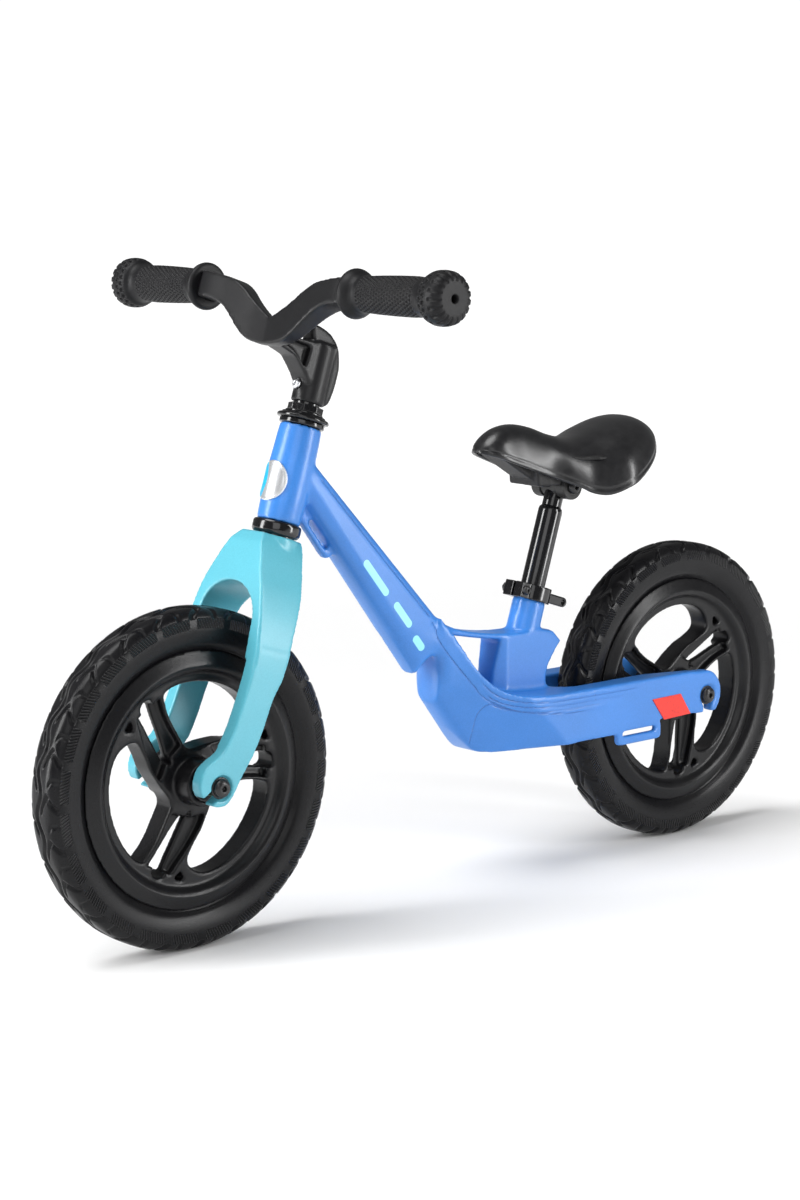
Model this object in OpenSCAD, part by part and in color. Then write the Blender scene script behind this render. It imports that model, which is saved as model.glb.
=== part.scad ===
// Child's balance bike with a cast frame, cast fork and foam-tyred wheels.
// X points forward, Y to the rider's left, Z up; the origin is on the ground,
// midway between the two wheel centres. All sizes are in millimetres.

/* [Overall] */
// Outside diameter of both tyres
wheel_diameter = 282; // [276:1:288]
// Distance between the two wheel centres
wheelbase = 576; // [570:1:582]
// Backward lean of the steering axis, in degrees from upright
head_tilt = 18; // [17:0.5:19]
// Distance of the front axle ahead of the steering axis
fork_rake = 32; // [30:0.5:34]
// Backward lean of the seat post, in degrees from upright
seat_tilt = 18; // [16:0.5:20]
// Position of the seat-post axis at ground level, behind the middle
seat_axis_offset = 20.5; // [16:0.5:24]

/* [Wheels] */
// Widest part of the tyre
tyre_width = 36; // [32:1:40]
// Radius of the edge where tyre and rim meet
rim_flange_radius = 108; // [106:0.5:109]
// Width of the rim at that edge
rim_flange_width = 24; // [22:0.5:26]
// Radius of the inner lip of the rim
rim_lip_radius = 94; // [92:0.5:96]
// Width of the rim at its inner lip
rim_lip_width = 35; // [32:0.5:37]
// Radius of the ridge in the middle of the rim, where the spokes join
rim_ridge_radius = 86; // [84:0.5:88]
// Radius of the bed the tyre sits on
rim_bed_radius = 102; // [100:0.5:104]
// Width of the spoke web across the wheel
spoke_width = 22; // [16:1:26]
// Thickness left between the pockets in the spokes
spoke_web = 7; // [4:0.5:10]
// Radius of the moulded hub
hub_radius = 19; // [18:0.5:22]
// Length of the moulded hub
hub_length = 60; // [58:1:62]
// Number of tread grooves on each side of a tyre
tread_grooves = 24; // [12:1:30]
// Depth of the tread grooves
tread_depth = 3; // [1:0.1:3.6]
// Width of the tread grooves
tread_gap = 5; // [3:0.5:7]

/* [Axles] */
// Diameter of the axle where the bearings run
axle_diameter = 12; // [11:0.5:12.5]
// Diameter of the axle ends in the dropout slots
axle_end_diameter = 10; // [9:0.5:10.5]
// Clear width between the inner faces of the dropouts
dropout_spacing = 76; // [74:1:78]
// Thickness of the dropout plates
dropout_thickness = 12; // [11:0.5:13]
// Outside diameter of the wheel bearings
bearing_diameter = 28; // [26:1:30]
// Width of the wheel bearings
bearing_width = 8; // [6:0.5:9]
// Thickness of the dust caps outside the bearings
dust_cap_thickness = 1.6; // [1:0.2:2]
// Outside diameter of the axle spacers
spacer_diameter = 17; // [15:0.5:20]
// Diameter of the heads of the axle bolts
axle_bolt_head = 15.5; // [13:0.5:17]
// Height of the heads of the axle bolts
axle_bolt_head_height = 5; // [4:0.5:6]
// Thread diameter of the axle bolts
axle_bolt_thread = 6; // [5:0.5:6.5]
// Length of the axle bolts under the head
axle_bolt_length = 24; // [18:1:30]
// Diameter of the washers under the axle bolts
axle_washer_diameter = 18; // [16:0.5:20]
// Thickness of the washers under the axle bolts
axle_washer_thickness = 1.5; // [1:0.25:2]

/* [Fork] */
// Height of the fork crown above the axle, along the steering axis
crown_height = 209.5; // [208:0.5:210]
// Thickness of the flat top of the crown above the arch
crown_arch_height = 166; // [160:1:170]
// Half width of the space between the fork legs
fork_inner_half = 37; // [34:0.5:38]
// Outside diameter of the steerer tube
steerer_diameter = 22.2; // [22:0.1:22.4]
// Bore of the steerer tube
steerer_bore = 18; // [16:0.5:19]
// Height of the top of the steerer above the axle, along its axis
steerer_top = 364; // [360:1:368]

/* [Headset] */
// Height of the lower edge of the head tube above the axle, along its axis
head_tube_bottom = 221.5; // [221:0.5:222]
// Length of the head tube
head_tube_length = 82; // [80:1:84]
// Outside diameter of the head tube at its upper end
head_tube_top_diameter = 35; // [34:0.5:37]
// Outside diameter of the head tube at its widest
head_tube_diameter = 38; // [37:0.5:40]
// Bore of the head tube
head_tube_bore = 29; // [28:0.5:30]
// Diameter of the lower headset cup
lower_cup_diameter = 41; // [40:0.5:42]
// Diameter of the upper headset cup
upper_cup_diameter = 38; // [37:0.5:39]
// Diameter of the flange of the upper cone
upper_cone_diameter = 44; // [42:0.5:45]
// Diameter of the lock nut
lock_nut_diameter = 30; // [28:0.5:32]
// Ball diameter of the headset bearings
headset_ball = 4; // [3.5:0.25:4.25]
// Number of balls in each headset bearing
headset_ball_count = 18; // [14:1:18]

/* [Handlebar] */
// Height of the grips above the axle, along the steering axis
bar_height = 403.5; // [400:0.5:408]
// Distance of the grips ahead of the steering axis
bar_reach = 56; // [50:1:60]
// Diameter of the handlebar under the grips
bar_diameter = 22.2; // [21.5:0.1:22.4]
// Outside diameter of the sleeve that clamps the steerer
sleeve_diameter = 27.5; // [27:0.5:29]
// Height of the lower end of the sleeve above the axle
sleeve_bottom = 322.5; // [322:0.5:324]
// Distance from the middle to the centre of the inner grip flange
grip_inner = 98; // [96:1:100]
// Distance from the middle to the outer end of a grip
grip_outer = 212; // [208:1:216]
// Diameter of the inner grip flange
grip_flange_diameter = 40; // [36:1:44]
// Diameter of the outer grip knob
grip_knob_diameter = 43; // [38:1:46]
// Diameter of the grip where the hand holds it
grip_diameter = 31; // [28:0.5:34]

/* [Frame] */
// Width of the down tube
down_tube_width = 35; // [32:0.5:37]
// Corner radius of the down tube
down_tube_corner = 8; // [5:0.5:10]
// Half width of the space for the rear tyre between the stays
stay_inner_half = 27; // [25:0.5:30]
// Height of the upper edge of the stays
stay_top = 167; // [165:1:169]
// Height of the lower edge of the stays
stay_bottom = 119; // [117:0.5:121]
// Width of the seat mast
mast_width = 32; // [30:1:38]
// Width of the bridge plate between down tube and seat tube
bridge_width = 30; // [26:1:34]
// Thickness of the bridge plate
bridge_thickness = 5; // [4:0.5:7]
// Outside diameter of the seat tube
seat_tube_diameter = 30; // [29:0.5:31]
// Distance of the top of the seat tube from the ground, along its axis
seat_tube_top = 268; // [266:1:270]
// Width of the strap slots in the stays and under the down tube
strap_slot_width = 4.6; // [4.4:0.1:5]
// Length of the strap slots in the stays
strap_slot_length = 44; // [38:1:46]

/* [Seat] */
// Diameter of the seat post
post_diameter = 22.2; // [22:0.1:22.4]
// Wall thickness of the seat post
post_wall = 1.8; // [1.2:0.2:2.4]
// Length of the seat post below the saddle clamp
post_length = 152; // [146:1:156]
// Distance of the saddle clamp bolt from the ground, along the seat-post axis
saddle_clamp_height = 366; // [362:1:368]
// Height of the seat collar
collar_height = 14; // [12:0.5:16]
// Outside diameter of the seat collar
collar_diameter = 36; // [35:0.5:38]
// Length of the saddle
saddle_length = 206; // [202:1:210]
// Width of the saddle
saddle_width = 116; // [110:1:124]
// Distance between the saddle rails
rail_spacing = 30; // [28:1:32]
// Diameter of the saddle rails
rail_diameter = 6; // [5:0.5:6.5]

/* [Fits] */
// Gap between pieces that turn or slide on each other, on the radius
running_gap = 0.05; // [0.02:0.01:0.1]
// Gap between pieces that move past each other without touching
moving_gap = 0.3; // [0.3:0.05:0.4]
// Gap around grips, bolts and rails that are pushed into place, on the radius
fit_gap = 0.05; // [0.02:0.01:0.1]

/* [Hidden] */
wheel_radius = wheel_diameter / 2;
axle_x = wheelbase / 2;
fork_outer_half = dropout_spacing / 2 + dropout_thickness;
stay_outer_half = fork_outer_half;
$fn = 64;

frame_blue = [0.34, 0.56, 0.90];
fork_blue = [0.44, 0.80, 0.88];
black = [0.11, 0.11, 0.12];
dark_grey = [0.17, 0.17, 0.18];
steel = [0.66, 0.67, 0.69];
zinc = [0.62, 0.58, 0.44];
red = [0.95, 0.30, 0.22];

// ---- curves ----------------------------------------------------------------
function spline(a, b, c, d, t) = 0.5 * (2 * b + (c - a) * t
    + (2 * a - 5 * b + 4 * c - d) * t * t
    + (3 * b - a - 3 * c + d) * t * t * t);
function loop_curve(p, n) = [
    for (i = [0 : len(p) - 1], k = [0 : n - 1])
        spline(p[(i + len(p) - 1) % len(p)], p[i],
            p[(i + 1) % len(p)], p[(i + 2) % len(p)], k / n)];
function clip(i, n) = max(0, min(n - 1, i));
function open_curve(p, n) = [
    for (i = [0 : len(p) - 2], k = [0 : n])
        if (k < n || i == len(p) - 2)
            spline(p[clip(i - 1, len(p))], p[i],
                p[i + 1], p[clip(i + 2, len(p))], k / n)];
function polar(r, a) = [r * cos(a), r * sin(a)];
function polar_all(p) = [for (q = p) polar(q[0], q[1])];
function mirrored(p) = [for (q = p) [-q[0], q[1]]];
function reversed(p) = [for (i = [len(p) - 1 : -1 : 0]) p[i]];

// ---- placing ----------------------------------------------------------------
// Steering frame: origin on the steering axis level with the front axle.
module steer() {
    translate([axle_x, 0, wheel_radius])
        rotate([0, -head_tilt, 0])
            translate([-fork_rake, 0, 0])
                children();
}
// Seat frame: origin on the seat-post axis at ground level.
module seat() {
    translate([-seat_axis_offset, 0, 0])
        rotate([0, -seat_tilt, 0])
            children();
}
// Drawing in the plane of the wheels, thickened to both sides.
module side_plate(width) {
    rotate([90, 0, 0])
        linear_extrude(width, center = true)
            children();
}
// Ring about the wheel axle from a section drawn as radius and offset.
module wheel_ring() {
    rotate([-90, 0, 0])
        rotate_extrude($fn = 96)
            children();
}
module cross_pin(r, length) {
    rotate([90, 0, 0])
        cylinder(r = r, h = length, center = true);
}
// Ring across the bike, centred on y.
module cross_ring(outer, inner, y, length) {
    translate([0, y, 0])
        difference() {
            cross_pin(outer, length);
            cross_pin(inner, length + 2);
        }
}
module tube(outer, inner, low, high) {
    translate([0, 0, low])
        difference() {
            cylinder(r = outer, h = high - low);
            translate([0, 0, -1])
                cylinder(r = inner, h = high - low + 2);
        }
}

// ---- wheels -----------------------------------------------------------------
front_spoke_angle = -63;
rear_spoke_angle = -92;
rim_step = 1.2;
bed_inset = 3;
hub_through = 9;
half_flange = rim_flange_width / 2;
half_lip = rim_lip_width / 2;
half_tyre = tyre_width / 2;
half_hub = hub_length / 2;
bearing_radius = bearing_diameter / 2;
axle_radius = axle_diameter / 2;
spoke_pocket = (spoke_width - spoke_web) / 2;

// Bed that rim and tyre share, from one side to the other.
function bed_half() = [
    [rim_flange_radius, half_flange],
    [rim_bed_radius + 2, half_flange - rim_step],
    [rim_bed_radius, half_flange - bed_inset]];
function other_side(p) = [for (i = [len(p) - 1 : -1 : 0]) [p[i][0], -p[i][1]]];

function rim_section() = concat(
    [[rim_lip_radius + 2, half_lip]],
    bed_half(),
    other_side(bed_half()),
    [[rim_lip_radius + 2, -half_lip],
     [rim_lip_radius, -half_lip],
     [rim_lip_radius - 2.5, -half_lip + 1.5],
     [rim_ridge_radius, -spoke_width / 2 + 2],
     [rim_ridge_radius, spoke_width / 2 - 2],
     [rim_lip_radius - 2.5, half_lip - 1.5],
     [rim_lip_radius, half_lip]]);

function tyre_side() = [
    [rim_flange_radius, half_flange],
    [rim_flange_radius + 6, half_tyre - 2],
    [rim_flange_radius + 16, half_tyre],
    [wheel_radius - 8, half_tyre - 0.8],
    [wheel_radius - 2.6, half_tyre - 4.5],
    [wheel_radius - 0.4, half_tyre - 9],
    [wheel_radius, half_tyre - 14]];
function tyre_section() = concat(
    open_curve(tyre_side(), 5),
    other_side(open_curve(tyre_side(), 5)),
    [[rim_bed_radius + 2, -half_flange + rim_step],
     [rim_bed_radius, -half_flange + bed_inset],
     [rim_bed_radius, half_flange - bed_inset],
     [rim_bed_radius + 2, half_flange - rim_step]]);

// Openings of one third of the wheel, as radius and angle from its spoke pair.
window_outline = [[80, 16], [81, 45], [81, 78], [76, 91], [66, 98], [53, 92],
    [44, 82], [35, 69], [28, 50], [26, 36], [27, 26], [31, 19], [44, 14],
    [57, 11.5], [71, 12]];
gap_outline = [[82, 3.7], [66, 2.1], [50, -1.1], [38, -6], [30, -13], [26, -19],
    [27, -25], [31, -20.6], [39, -15.6], [50, -11.1], [66, -7.2], [82, -4.7]];
corner_outline = [[75, -17], [82.5, -12.5], [82.5, -21]];
// Hollow between the two ribs of a spoke pair, on both faces of the wheel.
pair_pocket = [[78, 10], [68, 8.9], [60, 8.6], [48, 9.4], [38, 12], [32, 13], [31, -20],
    [32, -50], [39, -40], [50, -27], [62, -17.5], [70, -13], [78, -10]];

module wheel_thirds() {
    for (k = [0 : 2])
        rotate(120 * k)
            children();
}
module rim(angle) {
    difference() {
        union() {
            wheel_ring()
                polygon(rim_section());
            side_plate(spoke_width)
                circle(r = rim_ridge_radius + 3);
            cross_pin(hub_radius, hub_length);
        }
        side_plate(spoke_width + 4)
            rotate(angle)
                wheel_thirds() {
                    polygon(polar_all(loop_curve(window_outline, 5)));
                    polygon(polar_all(loop_curve(gap_outline, 3)));
                    polygon(polar_all(corner_outline));
                }
        for (side = [-1, 1])
            translate([0, side * (spoke_width / 2 + 1), 0])
                side_plate(2 * spoke_pocket + 2)
                    rotate(angle)
                        wheel_thirds()
                            polygon(polar_all(pair_pocket));
        cross_pin(hub_through, hub_length + 2);
        for (side = [-1, 1])
            translate([0, side * half_hub, 0])
                cross_pin(bearing_radius, 2 * bearing_width);
    }
}
module tread_cutters() {
    for (i = [0 : tread_grooves - 1])
        for (side = [-1, 1])
            rotate([0, (i + side / 4) * 360 / tread_grooves, 0])
                translate([0, side * (half_tyre - 6), wheel_radius])
                    rotate([0, 0, side * 20])
                        cube([tread_gap, 14, 2 * tread_depth], center = true);
}
module tyre() {
    difference() {
        wheel_ring()
            polygon(tyre_section());
        tread_cutters();
    }
}
module hub_bearings() {
    for (side = [-1, 1])
        cross_ring(bearing_radius, axle_radius + running_gap,
            side * (half_hub - bearing_width / 2), bearing_width);
}
module dust_caps() {
    for (side = [-1, 1])
        cross_ring(bearing_radius, axle_radius + 1,
            side * (half_hub + dust_cap_thickness / 2), dust_cap_thickness);
}

// ---- axles ------------------------------------------------------------------
recess_depth = 3;
recess_radius = axle_washer_diameter / 2 + 1.5;
half_drop = dropout_spacing / 2;
drop_outer = half_drop + dropout_thickness;
washer_seat = drop_outer - recess_depth;
head_seat = washer_seat + axle_washer_thickness;
axle_end = washer_seat - 1;
axle_slot = axle_end_diameter + 0.2;
thread_radius = axle_bolt_thread / 2;

module axle() {
    difference() {
        union() {
            cross_pin(axle_radius, dropout_spacing);
            cross_pin(axle_end_diameter / 2, 2 * axle_end);
        }
        for (side = [-1, 1])
            translate([0, side * axle_end, 0])
                cross_pin(thread_radius, 2 * axle_bolt_length);
    }
}
module axle_spacers() {
    spacer_start = half_hub + dust_cap_thickness + moving_gap;
    for (side = [-1, 1])
        cross_ring(spacer_diameter / 2, axle_radius,
            side * (spacer_start + half_drop) / 2, half_drop - spacer_start);
}
module axle_washers() {
    for (side = [-1, 1])
        cross_ring(axle_washer_diameter / 2, thread_radius,
            side * (washer_seat + head_seat) / 2, axle_washer_thickness);
}
// Domed socket bolt with its head on the plane z = 0 and its shank below.
module socket_bolt(head, height, thread, length) {
    key = head * 0.32;
    difference() {
        union() {
            rotate_extrude()
                polygon([[0, 0], [head / 2, 0], [head / 2, height * 0.45],
                    [head * 0.42, height * 0.78], [head * 0.3, height],
                    [0, height]]);
            translate([0, 0, -length])
                cylinder(r = thread / 2, h = length + 0.01);
        }
        translate([0, 0, height * 0.35])
            cylinder(r = key / 2, h = height, $fn = 6);
    }
}
module axle_bolts() {
    for (side = [-1, 1])
        translate([0, side * head_seat, 0])
            rotate([-90 * side, 0, 0])
                socket_bolt(axle_bolt_head, axle_bolt_head_height,
                    axle_bolt_thread, axle_bolt_length);
}
module at_front() {
    translate([axle_x, 0, wheel_radius])
        children();
}
module at_rear() {
    translate([-axle_x, 0, wheel_radius])
        children();
}

// ---- fork -------------------------------------------------------------------
hook_angle = -52;
crown_neck = 20.5;
leg_front = [[29, crown_height - 9], [31.5, 178], [32, 154], [31, 130],
    [29.5, 110], [29.5, 90], [31.5, 64]];
leg_rear = [[1.5, 78], [-4, 98], [-6, 121], [-7, 135], [-9.5, 150], [-11.5, 160],
    [-13, 172], [-15, 186], [-17, crown_height - 9]];
function eye_outline(x) = [
    [x + 2, 45], [x + 7, 28], [x + 15.5, 18.5], [x + 21.5, 10], [x + 22, -2],
    [x + 16.5, -10.5], [x + 8, -14.5], [x - 1, -15.5], [x - 9.5, -11.5],
    [x - 14.5, 0], [x - 17, 11], [x - 23.5, 30], [x - 27.6, 52]];
crown_side = [[crown_neck - 6, crown_height], [20, crown_height - 7],
    [26, 191], [32, 178], [38, 165], [42.5, 152], [46, 138], [48.5, 120],
    [fork_outer_half, 100], [fork_outer_half, -22]];
arch_half = fork_inner_half - 3;
arch_rise = 30;
arch_spring = crown_arch_height - arch_rise;

// Drawing across the bike, as offset and height, thickened forward and back.
module front_plate(depth) {
    rotate([90, 0, 90])
        linear_extrude(depth, center = true)
            children();
}
module fork_blank() {
    intersection() {
        side_plate(2 * fork_outer_half + 2)
            polygon(concat([[-18, crown_height], [24, crown_height]],
                open_curve(concat(leg_front, eye_outline(fork_rake), leg_rear), 4)));
        translate([fork_rake / 2, 0, 0])
            front_plate(120)
                polygon(concat(open_curve(crown_side, 4),
                    reversed(mirrored(open_curve(crown_side, 4)))));
    }
    translate([0, 0, crown_height - 24])
        cylinder(r1 = crown_neck + 3, r2 = crown_neck, h = 24);
}
module fork() {
    difference() {
        fork_blank();
        translate([fork_rake / 2, 0, 0])
            front_plate(160) {
                polygon([for (a = [0 : 6 : 180])
                    [arch_half * cos(a), arch_spring + arch_rise * sin(a)]]);
                translate([-arch_half, 40])
                    square([2 * arch_half, arch_spring - 40 + 0.01]);
                translate([-fork_inner_half, 30])
                    square([2 * fork_inner_half, arch_spring - 60]);
                translate([-half_drop, -40])
                    square([2 * half_drop, 71]);
            }
        translate([0, 0, crown_height - 30])
            cylinder(r = steerer_diameter / 2, h = 40);
        translate([fork_rake, 0, 0]) {
            cross_pin(axle_slot / 2, 2 * drop_outer + 2);
            rotate([0, -hook_angle, 0])
                translate([20, 0, 0])
                    cube([40, 2 * drop_outer + 2, axle_slot], center = true);
            for (side = [-1, 1])
                translate([0, side * drop_outer, 0])
                    cross_pin(recess_radius, 2 * recess_depth);
        }
    }
}
module steerer() {
    tube(steerer_diameter / 2, steerer_bore / 2, crown_height - 30, steerer_top);
}

// ---- headset ----------------------------------------------------------------
head_tube_top = head_tube_bottom + head_tube_length;
race_height = 3;
ball_radius = headset_ball / 2;
cage_radius = 14.6;
lower_ball_height = crown_height + race_height + ball_radius + 0.1;
upper_ball_height = head_tube_top + ball_radius + 0.1;
cone_bottom = head_tube_top + 2 * ball_radius + 0.3;
cone_height = 5.6;
washer_bottom = cone_bottom + cone_height;
washer_height = 1.5;
nut_height = 6;
cup_insert = 10;
cup_bore = steerer_diameter / 2 + 1.2;
insert_radius = head_tube_bore / 2;

module lower_cup_shape() {
    low = crown_height + 0.8;
    difference() {
        union() {
            tube(lower_cup_diameter / 2, cup_bore, low, head_tube_bottom);
            tube(insert_radius, cup_bore, head_tube_bottom - 1,
                head_tube_bottom + cup_insert);
        }
        translate([0, 0, low - 1])
            cylinder(r = cage_radius + ball_radius + 1.2,
                h = lower_ball_height + ball_radius + 0.1 - low + 1);
    }
}
module upper_cup_shape() {
    difference() {
        union() {
            tube(upper_cup_diameter / 2, cup_bore, head_tube_top,
                cone_bottom - moving_gap);
            tube(insert_radius, cup_bore, head_tube_top - cup_insert,
                head_tube_top + 0.05);
        }
        translate([0, 0, head_tube_top + 0.05])
            cylinder(r = cage_radius + ball_radius + 1, h = 10);
    }
}
module ball_cage(height) {
    translate([0, 0, height]) {
        for (i = [0 : headset_ball_count - 1])
            rotate(360 * i / headset_ball_count)
                translate([cage_radius, 0, 0])
                    sphere(r = ball_radius, $fn = 24);
        tube(cage_radius + 0.8, cage_radius - 0.8, -0.6, 0.6);
    }
}
module crown_race_shape() {
    tube(cage_radius + ball_radius, steerer_diameter / 2,
        crown_height, crown_height + race_height);
}
module upper_cone_shape() {
    tube(upper_cone_diameter / 2, steerer_diameter / 2,
        cone_bottom, cone_bottom + cone_height - 2);
    tube(upper_cone_diameter / 2 - 3.5, steerer_diameter / 2,
        cone_bottom + cone_height - 2.2, washer_bottom);
}
module lock_washer_shape() {
    tube(lock_nut_diameter / 2 + 1, steerer_diameter / 2,
        washer_bottom, washer_bottom + washer_height);
}
module lock_nut_shape() {
    low = washer_bottom + washer_height;
    difference() {
        translate([0, 0, low])
            cylinder(r = lock_nut_diameter / 2, h = nut_height, $fn = 8);
        translate([0, 0, low - 1])
            cylinder(r = steerer_diameter / 2, h = nut_height + 2);
    }
}

// ---- handlebar --------------------------------------------------------------
bar_radius = bar_diameter / 2;
bar_end = grip_outer - 8;
sleeve_radius = sleeve_diameter / 2;
sleeve_top = bar_height - 30;
stem_bolt_height = 336;
stem_bolt_thread = 5;

// The wings stop just short of the grips.
wing_end = grip_inner - 4 - moving_gap;
// Front view of one wing, as offset and height.
function wing_front(h) = [[0, h - 24], [15, h - 16], [28, h - 8], [40, h],
    [55, h + 6.5], [75, h + 9.5], [wing_end, h + bar_radius]];
function wing_under(h) = [[wing_end, h - bar_radius], [75, h - 11.5],
    [60, h - 17], [47, h - 26.5], [35, h - 36.5], [23, h - 43], [10, h - 45.5],
    [0, h - 46]];
// The same wing from above, as offset and distance ahead of the steerer.
function wing_ahead(s) = [[0, s + 4], [20, s + 5], [40, s + 7], [60, s + 9],
    [80, s + bar_radius], [wing_end, s + bar_radius]];
function wing_behind(s) = [[wing_end, s - bar_radius], [80, s - 11],
    [60, s - 11], [40, s - 9], [20, s - 7], [0, s - 6]];
fin_outline = [[0, sleeve_bottom + 2], [-15, sleeve_bottom + 2], [-19, sleeve_bottom + 13],
    [-20, sleeve_bottom + 27], [-19, sleeve_top - 12], [-14, sleeve_top],
    [-8, sleeve_top + 6], [0, sleeve_top + 10.5], [14, sleeve_top + 13],
    [19, sleeve_top + 9], [14, sleeve_top - 2], [13, sleeve_top - 24],
    [4, sleeve_bottom + 18]];
neck_outline = [[0, sleeve_top], [30, sleeve_top - 3], [bar_reach, sleeve_top - 1],
    [bar_reach, sleeve_top - 13], [31, sleeve_top - 18], [18, sleeve_top - 29],
    [12, sleeve_top - 36], [0, sleeve_top - 34]];
neck_recess = [[18, sleeve_top - 6], [bar_reach - 10, sleeve_top - 6],
    [bar_reach - 11, sleeve_top - 10], [33, sleeve_top - 14],
    [19, sleeve_top - 24]];
neck_half = 11;

module wing() {
    intersection() {
        front_plate(200)
            polygon(concat(open_curve(wing_front(bar_height), 4),
                open_curve(wing_under(bar_height), 4)));
        translate([0, 0, bar_height - 60])
            linear_extrude(120)
                rotate(90)
                    mirror([0, 1])
                        polygon(concat(open_curve(wing_ahead(bar_reach), 4),
                            open_curve(wing_behind(bar_reach), 4)));
    }
}
module neck() {
    difference() {
        side_plate(2 * neck_half)
            polygon(neck_outline);
        for (side = [-1, 1])
            translate([0, side * neck_half, 0])
                side_plate(12)
                    polygon(neck_recess);
    }
}
module handlebar_shape() {
    difference() {
        union() {
            translate([0, 0, sleeve_bottom])
                cylinder(r = sleeve_radius, h = sleeve_top - sleeve_bottom);
            side_plate(16)
                polygon(loop_curve(fin_outline, 3));
            neck();
            wing();
            mirror([0, 1, 0])
                wing();
            for (side = [-1, 1])
                translate([bar_reach, side * (86 + bar_end) / 2, bar_height])
                    cross_pin(bar_radius, bar_end - 86);
            translate([0, 0, stem_bolt_height])
                rotate([0, 90, 0])
                    cylinder(r = 5.2, h = sleeve_radius + 0.8);
        }
        translate([0, 0, sleeve_bottom - 1])
            cylinder(r = steerer_diameter / 2, h = steerer_top - sleeve_bottom + 1);
        translate([0, 0, stem_bolt_height])
            rotate([0, 90, 0])
                cylinder(r = stem_bolt_thread / 2, h = 30);
    }
}
module stem_bolt_shape() {
    seat_face = sleeve_radius + 0.8;
    translate([seat_face, 0, stem_bolt_height])
        rotate([0, 90, 0])
            socket_bolt(9, 3, stem_bolt_thread, seat_face - steerer_diameter / 2 - 0.2);
}
grip_bore = bar_radius + fit_gap;
knob_radius = grip_knob_diameter / 2;
flange_radius = grip_flange_diameter / 2;
grip_radius = grip_diameter / 2;
function grip_section() = concat(
    open_curve([[grip_bore, grip_inner - 4], [flange_radius - 1, grip_inner - 3.6],
        [flange_radius, grip_inner], [flange_radius - 2, grip_inner + 4],
        [grip_radius - 1, grip_inner + 9], [grip_radius, grip_inner + 35],
        [grip_radius + 0.6, grip_outer - 50], [grip_radius - 0.2, grip_outer - 28],
        [knob_radius - 1.5, grip_outer - 21], [knob_radius, grip_outer - 12],
        [knob_radius - 3, grip_outer - 3], [12, grip_outer]], 4),
    [[3, grip_outer], [3, bar_end + 0.5], [grip_bore, bar_end + 0.5]]);
module grip(side) {
    translate([bar_reach, 0, bar_height])
        rotate([-90 * side, 0, 0])
            rotate_extrude()
                polygon(grip_section());
}

// ---- frame ------------------------------------------------------------------
// Points of the down tube: where it leaves the head tube and where it bends.
tube_top_start = [174, 404.5];
tube_top_end = [20, 241.5];
tube_under_start = [176, 368];
tube_under_end = [4, 143];
tube_top_angle = atan2(tube_top_start[1] - tube_top_end[1],
    tube_top_start[0] - tube_top_end[0]);
tube_under_angle = atan2(tube_under_start[1] - tube_under_end[1],
    tube_under_start[0] - tube_under_end[0]);
rear_top = stay_top;
drop_x = axle_x;
drop_z = wheel_radius;

body_upper = [tube_top_end, [10, 229], [0, 214], [-12, 196], [-29, 179],
    [-49, stay_top + 4], [-72, stay_top + 1], [-89, stay_top], [-144, stay_top],
    [-209, stay_top], [-260, stay_top - 0.5]];
function rear_eye(x, z) = [[-x + 8, z + 24], [-x - 5, z + 22.5], [-x - 14, z + 15],
    [-x - 18.5, z + 3], [-x - 16, z - 9], [-x - 11, z - 16]];
function rear_under(x, z) = [[-x - 4, z - 16.5], [-x + 8, z - 16],
    [-x + 30, z - 14.5], [-x + 62, z - 14]];
body_under = [[-162, stay_bottom + 1], [-97, stay_bottom], [-50, stay_bottom - 1.5],
    [-33, stay_bottom - 1], [-18, stay_bottom + 3], tube_under_end];
body_plan = [[180, down_tube_width / 2], [60, down_tube_width / 2],
    [30, down_tube_width / 2 + 1], [10, 22], [-8, 28], [-30, 38], [-60, 45],
    [-100, 48], [-150, stay_outer_half], [-200, stay_outer_half],
    [-330, stay_outer_half]];
wheel_bay_front = 112;
tab_length = strap_slot_length + 14;
tab_x = -195;
tab_slope = 0;

// Outline of the cast body seen from the side.
function body_outline() = concat(
    [tube_top_start], open_curve(body_upper, 4),
    open_curve(rear_eye(drop_x, drop_z), 4), rear_under(drop_x, drop_z),
    [[-224, stay_bottom + 8]], open_curve(body_under, 4), [tube_under_start]);

// Bar along the down tube with rounded edges on its top face.
module tube_prism(start, angle) {
    depth = 90;
    translate([start[0], 0, start[1]])
        rotate([0, -angle, 0])
            translate([-240, 0, down_tube_corner - depth])
                rotate([90, 0, 90])
                    linear_extrude(320)
                        round_box(down_tube_width, depth - 2 * down_tube_corner,
                            down_tube_corner);
}
module round_box(width, height, corner) {
    half = width / 2 - corner;
    for (x = [-half, half])
        for (y = [0, height])
            translate([x, y])
                circle(r = corner, $fn = 32);
    translate([-width / 2, 0])
        square([width, height]);
    translate([-half, -corner])
        square([2 * half, height + 2 * corner]);
}
module body_core() {
    intersection() {
        side_plate(2 * stay_outer_half + 2)
            polygon(body_outline());
        linear_extrude(500)
            polygon(concat(open_curve(body_plan, 3),
                reversed([for (q = open_curve(body_plan, 3)) [q[0], -q[1]]])));
        bow_prism();
    }
}
// Keel-shaped limit under the down tube and the bend, as offset and height.
bow_curve = [[5, 0], [10, 1.5], [14.5, 5], [17.8, 11], [23, 22], [31, 38], [42, 58],
    [54, 84], [62, 110]];
module bow_prism() {
    half = open_curve(bow_curve, 3);
    translate([tube_under_start[0], 0, tube_under_start[1]])
        rotate([0, -tube_under_angle, 0])
            translate([-560, 0, 0])
                rotate([90, 0, 90])
                    linear_extrude(640)
                        polygon(concat(half, [[62, 340], [-62, 340]],
                            reversed(mirrored(half))));
}
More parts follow.
